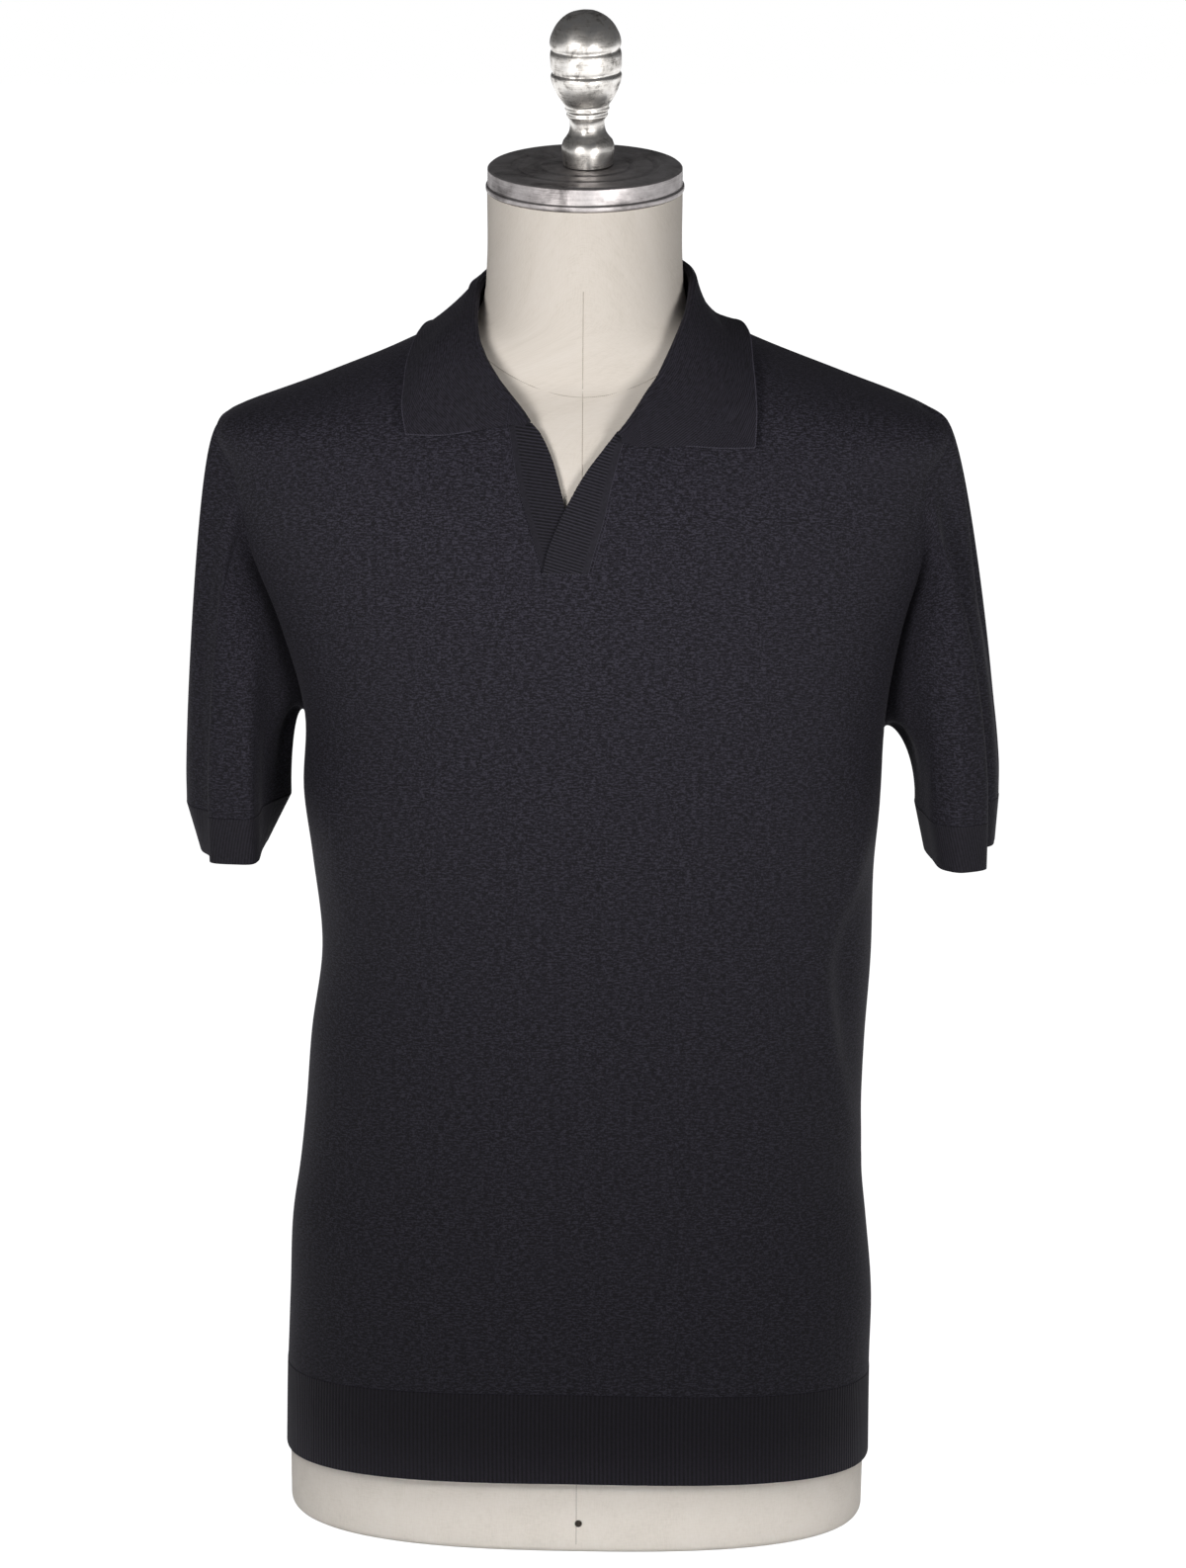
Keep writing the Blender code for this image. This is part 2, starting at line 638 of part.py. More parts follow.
def armhole_frame(arm, around):
    """The armhole seam's point, the cloth's direction across it and the body's outward direction."""
    point = section_point(BODY, *armhole_spot(arm, around))
    ahead, behind = around + SMALL_ANGLE, around - SMALL_ANGLE
    along = section_point(BODY, *armhole_spot(arm, ahead)) - section_point(BODY, *armhole_spot(arm, behind))
    outward = section_normal(BODY, *armhole_spot(arm, around))
    across = unit(np.cross(along, outward))
    hole = ARMHOLES[arm]
    middle = section_point(BODY, (hole["tip"] + hole["underarm"]) / 2, hole["side"])
    if np.dot(across, middle - point) < 0:
        across = -across
    return point, across, outward


def sleeve_line(arm, around):
    """The point on the line between sleeve and cuff."""
    rows = SLEEVE_LINES[arm]
    keys = [row[0] for row in rows]
    keys = [key - 360 for key in keys[-3:]] + keys + [key + 360 for key in keys[:3]]
    values = [row[1:] for row in rows[-3:] + rows + rows[:3]]
    across, forward = through(keys, values, math.degrees(around) % 360)
    return np.array((across, -forward, CUFF_LINE))


def by_side(values, around):
    """A value that is given at the top, at front and back, and at the underarm."""
    top, sides, under = values
    ends = (top + under) / 2
    once = (top - under) / 2 * math.cos(around)
    twice = (ends - sides) / 2 * math.cos(2 * around)
    return (ends + sides) / 2 + once + twice


def sleeve_point(arm, around, down):
    """A point of the sleeve's middle surface: down is 0 at the armhole seam and 1 at the cuff."""
    point, across, _ = armhole_frame(arm, around)
    first = point + across * ARMHOLE_GAP
    last = sleeve_line(arm, around)
    sideways = np.array((1.0 if arm == "right" else -1.0, 0, 0))
    second = first + unit(across + sideways * SLEEVE_FLARE) * by_side(SLEEVE_START, around)
    third = last + np.array((0, 0, by_side(SLEEVE_END, around)))
    up = 1 - down
    shares = (up**3, 3 * up**2 * down, 3 * up * down**2, down**3)
    return sum(share * corner for share, corner in zip(shares, (first, second, third, last)))


def surface_normal(point_at, first, second, outward):
    """The direction away from a surface point_at(first, second), on the side that outward shows."""
    step = SMALL_ANGLE
    low, high = max(second - step, 0), second + step
    along = point_at(first, high) - point_at(first, low)
    around = point_at(first + step, second) - point_at(first - step, second)
    normal = unit(np.cross(along, around))
    return normal if np.dot(normal, outward) >= 0 else -normal


def sleeve(arm, material):
    steps = 2 * ARMHOLE_STEPS
    turns = [2 * math.pi * step / steps for step in range(steps)]
    grid, normals = [], []
    for ring in range(SLEEVE_RINGS + 1):
        down = (ring / SLEEVE_RINGS) ** SLEEVE_RING_EASE
        grid.append([sleeve_point(arm, turn, down) for turn in turns])
        if ring == 0:
            normals.append([armhole_frame(arm, turn)[2] for turn in turns])
            continue
        row = []
        for turn, before in zip(turns, normals[-1]):
            row.append(surface_normal(lambda a, d: sleeve_point(arm, a, d), turn, down, before))
        normals.append(row)
    return add_shell(f"sleeve_{arm}", grid, normals, CLOTH_WALL, material, ring=True)


def cuff_point(arm, around, down):
    """A point of the cuff's middle surface: down is 0 at the sleeve and 1 at the free edge."""
    taper = CUFF_TAPER[arm]
    point = sleeve_line(arm, around)
    middle = taper["middle"]
    closed = np.array((
        middle + (point[0] - middle) * taper["across"] + taper["shift"],
        point[1] * taper["forward"],
        CUFF_EDGE,
    ))
    top = point - np.array((0, 0, SEAM_GAP))
    return top + (closed - top) * down


def cuff(arm, material):
    steps = 2 * ARMHOLE_STEPS
    turns = [2 * math.pi * step / steps for step in range(steps)]
    middle = np.array((CUFF_TAPER[arm]["middle"], 0, 0))
    grid, normals = [], []
    for ring in range(3):
        down = ring / 2
        grid.append([cuff_point(arm, turn, down) for turn in turns])
        row = []
        for turn in turns:
            along = cuff_point(arm, turn + SMALL_ANGLE, down) - cuff_point(arm, turn - SMALL_ANGLE, down)
            row.append(unit(np.cross(along, np.array((0, 0, 1.0)))))
        normals.append(row)
    if np.dot(normals[0][0], grid[0][0] * (1, 1, 0) - middle) < 0:
        normals = [[-normal for normal in row] for row in normals]
    return add_shell(f"cuff_{arm}", grid, normals, RIB_WALL, material, ring=True)


# ---------------------------------------------------------------- opening bands and collar

def band(name, table, level_at, material):
    """A band between the seam and the free edge of its table, on the body's surface at its own level."""
    grid, normals = [], []
    for row in range(2 * len(table) - 1):
        seam_x, seam_z, edge_x, edge_z = through(range(len(table)), table, row / 2)
        points, directions = [], []
        for column in range(BAND_COLUMNS + 1):
            share = column / BAND_COLUMNS
            height = seam_z + (edge_z - seam_z) * share
            across = seam_x + (edge_x - seam_x) * share
            angle = angle_at(BODY, height, across)
            normal = section_normal(BODY, height, angle)
            level = level_at(height, abs(across - seam_x))
            points.append(section_point(BODY, height, angle) + normal * level)
            directions.append(normal)
        grid.append(points)
        normals.append(directions)
    return add_shell(name, grid, normals, BAND_WALL, material)


def under_level(height, _):
    low, high = UNDER_BAND_RISES
    share = max(0.0, min(1.0, (high - height) / (high - low)))
    return -BAND_STEP * share * share * (3 - 2 * share)


def over_level(_, from_seam):
    return BAND_STEP * min(1.0, from_seam / BAND_STEP_RUN)


def collar_section(place):
    """Points across the collar, from the neckline seam over the roll to the free edge."""
    keys = range(len(COLLAR))
    row = through(keys, COLLAR, place)
    seam, fold = row[0:3], row[3:6]
    edge = through(keys, COLLAR, place, corners=COLLAR_TIP_ROWS)[6:9]
    bulge = row[9]
    _, away = outside(BODY, seam)
    rise = unit(fold - seam)
    out = unit(away - rise * np.dot(away, rise))
    centre = fold - rise * COLLAR_ROLL
    inner = centre - out * COLLAR_ROLL
    points = [seam + (inner - seam) * share for share in COLLAR_STAND]
    for turn in COLLAR_ROLL_TURNS:
        angle = math.radians(turn)
        points.append(centre + COLLAR_ROLL * (rise * math.sin(angle) - out * math.cos(angle)))
    start = points[-1]
    chord = edge - start
    rounding = unit(out + rise * 0.6)
    middle = start + chord / 2 + rounding * bulge * 2
    for share in COLLAR_FALL:
        rest = 1 - share
        point = rest**2 * start + 2 * rest * share * middle + share**2 * edge
        points.append(lifted(BODY, point, COLLAR_CLEARANCE))
    return points


def collar(material):
    stations = (len(COLLAR) - 1) * COLLAR_STEPS_PER_ROW
    places = np.linspace(0, len(COLLAR) - 1, stations + 1)
    grid = np.array([collar_section(place) for place in places])
    return add_shell("collar", grid, grid_normals(grid), COLLAR_WALL, material)


def grid_normals(grid):
    """Unit normals of an open grid of points, from its own steps."""
    along = np.gradient(grid, axis=0)
    across = np.gradient(grid, axis=1)
    normals = np.cross(along, across)
    return normals / np.linalg.norm(normals, axis=2, keepdims=True)


# ---------------------------------------------------------------- dress form

def form_torso(material):
    heights = [0.0, FORM_BASE_ROUNDING * 0.3, FORM_BASE_ROUNDING, *FORM_RINGS, NECK_TOP]
    base_middle = np.array(((FORM[0][1] + FORM[0][2]) / 2, 0, 0))
    points, faces = [], []
    for height in heights:
        edge = max(0.0, FORM_BASE_ROUNDING - height) / FORM_BASE_ROUNDING
        inset = FORM_BASE_ROUNDING * (1 - math.sqrt(1 - edge**2))
        for step in range(FORM_SIDES):
            point = section_point(FORM, height, 2 * math.pi * step / FORM_SIDES)
            point = point - unit(point * (1, 1, 0) - base_middle) * inset
            lean = max(0.0, min(1.0, (height - NECK_TILT_STARTS) / (NECK_TOP - NECK_TILT_STARTS)))
            point[2] += point[1] * math.tan(NECK_TILT) * lean
            points.append(point)
    for row in range(len(heights) - 1):
        for step in range(FORM_SIDES):
            after = (step + 1) % FORM_SIDES
            faces.append([row * FORM_SIDES + step, row * FORM_SIDES + after,
                          (row + 1) * FORM_SIDES + after, (row + 1) * FORM_SIDES + step])
    faces.append(list(range(FORM_SIDES)))
    faces.append(list(range(len(points) - FORM_SIDES, len(points))))
    return add_mesh("form_torso", points, faces, material)


def neck_metal(material):
    up = Vector((0, -math.sin(NECK_TILT), math.cos(NECK_TILT)))
    base = Vector((NECK_MIDDLE, 0, NECK_TOP)) + up * SEAM_GAP
    cap = add_turned("neck_cap", CAP_OUTLINE, CAP_SIDES, material)
    cap.location = base * MM
    cap.rotation_euler = (NECK_TILT, 0, 0)
    knob = add_turned("finial_knob", KNOB_OUTLINE, KNOB_SIDES, material)
    knob_base = base + up * (CAP_THICKNESS + SEAM_GAP + KNOB_LIFT)
    knob.location = Vector((KNOB_MIDDLE, knob_base.y, knob_base.z)) * MM
    knob.rotation_euler = (NECK_TILT, KNOB_LEAN, 0)


def base_nail(material):
    angle = angle_at(FORM, NAIL_HEIGHT, NAIL_ACROSS)
    middle = section_point(FORM, NAIL_HEIGHT, angle)
    normal = section_normal(FORM, NAIL_HEIGHT, angle)
    nail = add_turned("base_nail", NAIL_OUTLINE, NAIL_SIDES, material)
    nail.location = turned(middle + normal * SEAM_GAP) * MM
    nail.rotation_euler = Vector(normal).to_track_quat("Z", "Y").to_euler()


def main():
    for item in list(bpy.data.objects):
        bpy.data.objects.remove(item)
    bpy.context.scene.collection.children.link(bpy.data.collections.new("polo_shirt_on_form"))
    materials = {name: add_material(name, **look) for name, look in MATERIALS.items()}
    knit, rib = materials["charcoal_knit"], materials["charcoal_rib"]
    front_panel(knit)
    back_panel(knit)
    hem_rib(rib)
    for arm in ("left", "right"):
        sleeve(arm, knit)
        cuff(arm, rib)
    band("placket_under", UNDER_BAND, under_level, rib)
    band("placket_over", OVER_BAND, over_level, rib)
    collar(rib)
    form_torso(materials["cream_canvas"])
    neck_metal(materials["brushed_metal"])
    base_nail(materials["dark_nail"])
    bpy.context.view_layer.update()


if __name__ == "__main__":
    main()
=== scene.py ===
"""Looks of a knitted polo shirt on a limbless canvas dress form.

Sizes are in millimetres and become metres as each mesh is made. +Z is up and the shirt's front faces -Y.
"Left" and "right" are as seen from the front, so left is -X. An angle around the body starts at the right
side (+X) and turns through the front (-Y).
"""

import functools
import math

import bpy
import numpy as np
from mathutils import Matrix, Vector


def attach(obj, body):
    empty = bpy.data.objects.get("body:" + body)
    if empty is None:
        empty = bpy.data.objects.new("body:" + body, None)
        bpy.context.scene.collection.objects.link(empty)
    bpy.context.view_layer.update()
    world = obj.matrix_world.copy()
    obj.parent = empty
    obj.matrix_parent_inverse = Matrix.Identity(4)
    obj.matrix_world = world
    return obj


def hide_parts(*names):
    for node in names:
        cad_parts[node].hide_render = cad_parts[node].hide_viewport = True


bl_info = {
    "name": "Knitted Polo Shirt on a Dress Form",
    "version": (1, 0, 0),
    "blender": (4, 5, 0),
    "location": "View3D > Sidebar > Polo Shirt",
    "description": "Makes a knitted polo shirt with ribbed edges, its canvas form and a studio",
    "category": "Add Mesh",
}

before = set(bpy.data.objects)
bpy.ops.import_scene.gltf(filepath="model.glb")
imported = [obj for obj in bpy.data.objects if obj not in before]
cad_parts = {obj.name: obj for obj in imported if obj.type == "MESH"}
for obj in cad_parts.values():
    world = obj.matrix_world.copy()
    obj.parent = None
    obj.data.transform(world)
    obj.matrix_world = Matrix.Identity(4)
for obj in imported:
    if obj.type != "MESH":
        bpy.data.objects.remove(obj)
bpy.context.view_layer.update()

MM = 0.001
CLOTH_UV = "cloth_mm"

# ---------------------------------------------------------------- the garment's named sizes

SEAM_GAP = 0.3
ARMHOLE_GAP = 0.4

# Sections of the shirt's body at each height: how far it reaches to the left, right, front and back,
# and the squareness of its outline, where 2 is an ellipse.
BODY = (
    # height, left, right, front, back, square
    (30, -186.0, 177.5, 123.0, 112.0, 2.55),
    (100, -184.5, 178.0, 124.0, 113.0, 2.55),
    (137, -183.0, 179.0, 124.0, 113.0, 2.5),
    (188, -180.5, 175.0, 123.0, 112.0, 2.4),
    (214, -176.5, 172.5, 122.5, 111.5, 2.3),
    (250, -172.5, 171.5, 122.0, 111.0, 2.3),
    (300, -168.5, 173.5, 121.0, 111.0, 2.3),
    (353, -161.5, 177.0, 121.0, 112.0, 2.3),
    (415, -167.0, 178.5, 122.0, 114.0, 2.3),
    (455, -172.0, 182.0, 122.0, 116.0, 2.3),
    (500, -171.0, 184.5, 120.0, 117.5, 2.25),
    (560, -187.0, 196.0, 116.0, 118.5, 2.2),
    (620, -211.0, 214.0, 108.0, 115.5, 2.1),
    (655, -219.0, 218.0, 98.5, 111.0, 2.2),
    (687, -217.0, 220.5, 85.0, 102.0, 2.2),
    (699, -188.0, 195.0, 80.0, 96.5, 2.2),
    (711.5, -156.5, 163.3, 75.0, 89.0, 2.1),
    (723.6, -126.5, 132.0, 71.0, 82.0, 2.0),
    (735.5, -99.5, 103.0, 67.5, 75.5, 2.0),
    (748, -73.0, 75.0, 65.0, 70.0, 2.0),
    (765, -66.0, 67.0, 64.0, 67.0, 2.0),
)
FORM = (
    # height, left, right, front, back, square
    (0, -184.0, 174.0, 118.0, 107.0, 2.55),
    (40, -184.0, 175.0, 118.5, 107.5, 2.55),
    (100, -182.0, 175.5, 119.0, 108.0, 2.5),
    (188, -175.0, 171.0, 117.0, 106.0, 2.3),
    (250, -168.0, 167.0, 114.0, 102.0, 2.3),
    (353, -157.0, 172.0, 114.0, 103.0, 2.3),
    (415, -162.0, 173.0, 116.0, 107.0, 2.3),
    (455, -166.0, 177.0, 116.0, 110.0, 2.3),
    (500, -166.0, 179.0, 115.0, 112.0, 2.25),
    (560, -177.0, 185.0, 112.0, 113.0, 2.2),
    (620, -194.0, 196.0, 104.0, 111.0, 2.1),
    (655, -203.0, 202.0, 94.0, 106.0, 2.2),
    (680, -203.0, 202.0, 83.0, 99.0, 2.2),
    (690, -196.0, 198.0, 77.0, 95.5, 2.2),
    (699, -181.5, 189.0, 71.0, 91.0, 2.1),
    (711.5, -150.0, 157.0, 62.0, 83.5, 2.0),
    (723.6, -120.0, 125.5, 60.5, 76.0, 2.0),
    (735.5, -92.0, 96.0, 60.0, 69.5, 2.0),
    (744, -73.0, 75.0, 59.5, 65.5, 2.0),
    (752, -63.5, 65.5, 59.3, 62.5, 2.0),
    (762, -60.0, 62.0, 59.3, 60.5, 2.0),
    (780, -58.5, 60.5, 59.2, 59.5, 2.0),
    (825, -58.2, 60.4, 59.0, 59.2, 2.0),
)
FORM_BASE_ROUNDING = 4.0
NECK_TOP = 825.0
NECK_TILT = math.radians(7.0)
NECK_TILT_STARTS = 775.0
NECK_MIDDLE = 1.2
# The canvas seams: how far across the centre seam is at the base and at the neck's top, and the neck seam's
# lowest height and its rise at NECK_SEAM_RISES_BY to each side.
FORM_SEAM_ACROSS = (-4.4, 0.5)
NECK_SEAM_LOW = 707.4
NECK_SEAM_RISE = 11.6

# The body stands turned a little against its neck, so its right side is nearer the front.
BODY_TURN = 0.055
TURN_FADES = (695.0, 765.0)

HEM_AT_SIDES = 38.0
HEM_RISE = 7.5
RIB_TOP_AT_SIDES = 92.0
RIB_TOP_RISE = 10.5

ARMHOLE_SQUARE_TOP = 2.4
ARMHOLE_SQUARE_FOOT = 2.3
ARMHOLES = {
    "left": {"side": math.pi, "tip": 687.2, "underarm": 501.6, "front": 20.0, "front_low": 8.0, "back": 22.0},
    "right": {"side": 0.0, "tip": 696.0, "underarm": 494.8, "front": 23.0, "front_low": 10.0, "back": 22.0},
}
# The front seam runs further round the side below this share of the armhole's half height.
FRONT_SEAM_TURNS_IN = (-0.15, 0.6)

# The line where each sleeve meets its cuff, at one height, by the angle around the sleeve in degrees:
# 0 is the outer side, 90 the front and 180 the side towards the body. One row is one fold or one flat.
CUFF_LINE = 448.0
CUFF_EDGE = 419.0
SLEEVE_LINES = {
    "left": (
        # around, across, forward
        (0, -244.5, -2),
        (35, -240.0, 33),
        (52, -230.5, 46),
        (58, -226.5, 53),
        (70, -228.0, 65),
        (90, -214.0, 71),
        (105, -202.0, 69),
        (114, -199.5, 58),
        (138, -197.0, 30),
        (158, -189.5, 8),
        (180, -182.0, -10),
        (215, -190.0, -42),
        (250, -207.0, -63),
        (270, -219.0, -67),
        (300, -233.0, -52),
        (330, -241.5, -28),
    ),
    "right": (
        # around, across, forward
        (0, 256.5, -30),
        (25, 251.5, -10),
        (40, 240.0, -2),
        (54, 225.0, 12),
        (63, 231.0, 38),
        (71, 244.0, 52),
        (90, 229.0, 70),
        (108, 217.0, 64),
        (145, 209.0, 30),
        (180, 205.0, -6),
        (215, 210.0, -40),
        (250, 222.0, -62),
        (270, 234.0, -66),
        (300, 248.0, -51),
        (330, 255.5, -36),
    ),
}
CUFF_TAPER = {
    # keep is how far from the middle the cuff keeps its width, outwards and inwards; beyond it closes in.
    "left": {"middle": -216.5, "keep": (12.0, 17.0), "closing": (0.5, 0.15), "shift": 0.6},
    "right": {"middle": 231.0, "keep": (0.0, 0.0), "closing": (0.84, 0.84), "shift": 1.8},
}
CUFF_TAPER_FORWARD = 0.97
# The sleeve's run out of its armhole and into its cuff line: at the top, at the front and back, and at the
# underarm.
SLEEVE_START = (14.0, 12.0, 9.0)
SLEEVE_END = (84.0, 90.0, 35.0)
SLEEVE_FLARE = 0.6
# Out of the lower front of the armhole the cloth folds forward first: the degrees around with how much of the
# fold each has, how far it loses the armhole's own direction, how strongly it goes forward, and its reach.
SLEEVE_FOLD_RUN = ((65, 105, 140, 178), (0, 1, 1, 0))
SLEEVE_FOLD_TURN = 0.7
SLEEVE_FOLD_FORWARD = 2.4
SLEEVE_FOLD_REACH = 24.0

UNDER_BAND = (
    # seam across, seam height, edge across, edge height
    (-24.4, 607.7, -1.5, 607.7),
    (-27.4, 618.0, -4.0, 617.0),
    (-33.3, 637.5, -8.5, 635.0),
    (-38.9, 658.0, -13.2, 656.0),
    (-42.3, 677.0, -18.5, 674.0),
    (-44.6, 692.0, -25.0, 687.5),
    (-45.5, 699.0, -30.5, 694.0),
)
OVER_BAND = (
    # seam across, seam height, edge across, edge height
    (3.3, 607.7, -24.0, 607.7),
    (6.9, 621.0, -21.2, 620.0),
    (12.7, 640.0, -14.0, 638.0),
    (16.0, 655.0, -5.5, 654.5),
    (19.5, 668.0, 2.5, 667.0),
    (23.2, 681.0, 12.0, 679.0),
    (28.0, 692.0, 20.5, 689.5),
)
BAND_STEP = 1.0
BAND_STEP_RUN = 4.0
UNDER_BAND_RISES = (640.0, 664.0)
# How far each band's ribs slope down to the right.
BAND_RIB_TILTS = {"under": math.radians(7.0), "over": math.radians(16.0)}

NECKLINE_LEFT = ((-47.5, 703.0), (-52.5, 711.5), (-59.0, 721.0), (-65.8, 731.0), (-70.6, 739.0), (-73.2, 745.5))
NECKLINE_RIGHT = ((34.5, 700.0), (41.5, 709.0), (49.8, 719.5), (58.3, 730.0), (66.5, 739.0), (72.8, 745.5))
SHOULDER_SEAM_ENDS = 747.0
BACK_NECK = 750.0
SEAM_TURN = 0.0018
MIDDLE_AT_UNDERARM = 498.0
MIDDLE_AT_TIP = 692.0

# Collar, from its left front end around the back to its right front end. Seam is where it meets the neckline,
# fold is the top of its roll, edge is its free edge, and bulge rounds the fall outwards.
COLLAR = (
    # seam x, y, z, fold x, y, z, edge x, y, z, bulge
    (-33.5, -85.5, 694.3, -32.2, -86.0, 695.6, -34.5, -88.0, 693.6, 0.3),
    (-38.5, -82.5, 698.0, -36.3, -83.3, 701.5, -39.5, -88.0, 693.6, 0.5),
    (-45.5, -78.5, 702.5, -42.5, -79.0, 709.0, -45.6, -87.0, 693.8, 0.5),
    (-50.5, -73.8, 710.0, -50.0, -73.5, 718.0, -67.5, -86.0, 689.4, 1.0),
    (-57.5, -67.6, 720.0, -57.3, -67.0, 729.0, -85.0, -85.5, 686.8, 2.0),
    (-62.0, -61.5, 727.5, -60.8, -60.5, 736.0, -106.0, -81.0, 686.3, 3.0),
    (-66.5, -54.5, 734.0, -63.3, -53.0, 742.0, -108.5, -71.5, 701.0, 4.0),
    (-70.6, -44.0, 740.0, -64.8, -38.0, 752.0, -107.5, -60.0, 713.5, 5.0),
    (-72.8, -24.0, 748.5, -64.3, -20.0, 759.5, -105.5, -44.0, 727.0, 1.5),
    (-74.0, 0.0, 751.5, -63.2, 0.0, 766.0, -99.0, -12.0, 740.0, -1.0),
    (-69.0, 26.0, 751.0, -57.8, 26.0, 772.0, -89.0, 34.0, 740.0, -1.0),
    (-49.0, 51.0, 752.5, -43.5, 47.5, 779.0, -67.0, 60.0, 740.5, 2.0),
    (-25.0, 66.0, 753.0, -23.0, 61.5, 783.0, -35.0, 76.0, 740.5, 2.0),
    (0.5, 71.5, 753.0, 0.5, 66.5, 785.0, 0.5, 81.0, 740.5, 2.0),
    (26.0, 66.0, 753.0, 25.0, 61.5, 784.5, 36.0, 76.0, 740.5, 1.0),
    (50.0, 51.0, 752.5, 46.0, 47.5, 781.5, 68.0, 60.0, 740.5, -1.0),
    (70.0, 26.0, 751.0, 60.3, 26.0, 777.5, 90.0, 34.0, 740.0, -6.0),
    (74.5, 0.0, 752.5, 65.6, 0.0, 773.5, 99.0, -12.0, 740.0, -8.0),
    (72.5, -23.0, 750.5, 65.3, -20.0, 766.5, 101.5, -44.0, 729.5, -3.5),
    (66.8, -42.5, 745.0, 62.3, -42.0, 755.5, 102.5, -60.0, 715.5, -1.0),
    (58.8, -56.5, 735.0, 56.3, -57.5, 742.5, 103.3, -72.0, 699.5, 0.0),
    (53.5, -64.5, 725.5, 50.0, -67.0, 730.0, 102.6, -83.5, 680.0, 1.0),
    (46.5, -71.0, 716.5, 44.8, -73.5, 720.0, 84.0, -87.0, 680.3, 1.5),
    (39.5, -76.2, 708.0, 39.0, -78.0, 713.0, 62.0, -89.5, 682.0, 1.5),
    (33.2, -80.8, 699.0, 33.2, -82.0, 704.6, 35.8, -92.5, 682.3, 1.0),
    (28.4, -85.0, 692.5, 27.8, -86.0, 697.0, 30.0, -92.5, 682.8, 0.5),
    (22.8, -88.8, 687.2, 21.6, -89.4, 689.4, 23.0, -91.0, 685.0, 0.3),
)
COLLAR_TIP_ROWS = (5, 21)
# Rows of the collar table where the ribbed end tabs end, from each front end.
COLLAR_TABS_END = (2.0, 24.0)
COLLAR_ROLL = 1.9
COLLAR_BULGE_RISE = 0.6
COLLAR_CLEARANCE = 2.8
# How far the collar's free edge curls up from the cloth below it.
COLLAR_EDGE_LIFT = 1.4
# Where points lie across the collar: shares of the stand, degrees of the roll and shares of the fall.
COLLAR_STAND = (0.0, 0.25, 0.5, 0.75)
COLLAR_ROLL_TURNS = (0, 22, 45, 68, 90, 112, 135, 158, 180)
COLLAR_FALL = (0.06, 0.12, 0.2, 0.28, 0.36, 0.44, 0.52, 0.6, 0.68, 0.76, 0.84, 0.9, 0.95, 0.98, 1.0)

CAP_THICKNESS = 15.0
# Outlines of the turned pieces: points of (radius, height) from the top to the bottom. The cap's two grooves
# start at these radii.
CAP_GROOVES = (26.5, 41.0)
CAP_OUTLINE = (
    (0.0, CAP_THICKNESS),
    *((start + out, CAP_THICKNESS - depth)
      for start in CAP_GROOVES for out, depth in ((0, 0), (1.1, 1), (3.5, 1), (4.6, 0))),
    (57.6, CAP_THICKNESS), (59.2, 13.6), (59.2, 4.0), (60.3, 3.2), (60.3, 0.8), (59.5, 0.0), (0.0, 0.0),
)
KNOB_OUTLINE = (
    (0.0, 94.5), (7.5, 93.6), (12.8, 91.0), (16.8, 87.2), (19.8, 82.0), (21.4, 77.0), (21.5, 73.5),
    (20.7, 71.5), (21.4, 69.5), (21.5, 64.0), (21.2, 59.5), (20.5, 57.5), (21.4, 55.5), (21.0, 51.5),
    (19.3, 46.5), (15.5, 40.0), (13.2, 36.5), (13.4, 34.2), (12.4, 32.8), (12.6, 30.4), (11.2, 28.6),
    (10.5, 24.0), (11.4, 20.0), (13.4, 17.0), (15.0, 15.0), (15.2, 2.0),
)
KNOB_FOOT = ((15.0, 0.0), (0.0, 0.0))
KNOB_MIDDLE = 3.0
KNOB_LEAN = math.radians(-1.2)
KNOB_LIFT = 0.4
NAIL_OUTLINE = ((0.0, 1.25), (0.7, 1.2), (1.4, 0.95), (1.95, 0.6), (2.2, 0.3), (2.2, 0.0), (0.0, 0.0))
NAIL_HEIGHT = 19.0
NAIL_ACROSS = -3.0

# Steps over which directions are taken, in millimetres and radians.
SMALL_LENGTH = 0.5
SMALL_ANGLE = 0.004

# Folds of the body's cloth on its front: points of (across, height), with how wide and how proud each one is.
BODY_FOLDS = (
    {"line": ((175, 447), (155, 387), (148, 364)), "width": 6.5, "proud": 2.6},
    {"line": ((131, 415), (139, 370), (143, 360), (151, 301), (163, 251), (168, 227)),
     "width": 7.0, "proud": 3.2},
    {"line": ((158, 400), (160, 340), (165, 290)), "width": 8.0, "proud": -3.4},
    {"line": ((-160, 470), (-150, 430), (-146, 380)), "width": 9.0, "proud": 1.6},
    {"line": ((-150, 300), (-158, 240), (-168, 190)), "width": 11.0, "proud": 1.4},
)


# ---------------------------------------------------------------- curves and surfaces

def through(keys, values, at, corners=()):
    """Values at each key in at, by a cubic through the rows; a row listed in corners keeps a sharp turn."""
    keys = np.asarray(keys, float)
    values = np.asarray(values, float)
    at = np.asarray(at, float)
    steps = np.diff(keys)
    slopes = np.diff(values, axis=0) / steps[:, None]
    before, after = steps[:-1, None], steps[1:, None]
    inner = (slopes[:-1] * after + slopes[1:] * before) / (before + after)
    leaving = np.concatenate((slopes[:1], inner))
    arriving = np.concatenate((inner, slopes[-1:]))
    for corner in corners:
        leaving[corner] = slopes[corner]
        arriving[corner - 1] = slopes[corner - 1]
    row = np.clip(np.searchsorted(keys, at) - 1, 0, len(steps) - 1)
    t = ((at - keys[row]) / steps[row])[..., None]
    size = steps[row][..., None]
    return (
        (2 * t**3 - 3 * t**2 + 1) * values[row]
        + (t**3 - 2 * t**2 + t) * leaving[row] * size
        + (-2 * t**3 + 3 * t**2) * values[row + 1]
        + (t**3 - t**2) * arriving[row] * size
    )


def unit(vectors):
    """The same directions, each with a length of 1."""
    return vectors / np.linalg.norm(vectors, axis=-1, keepdims=True)


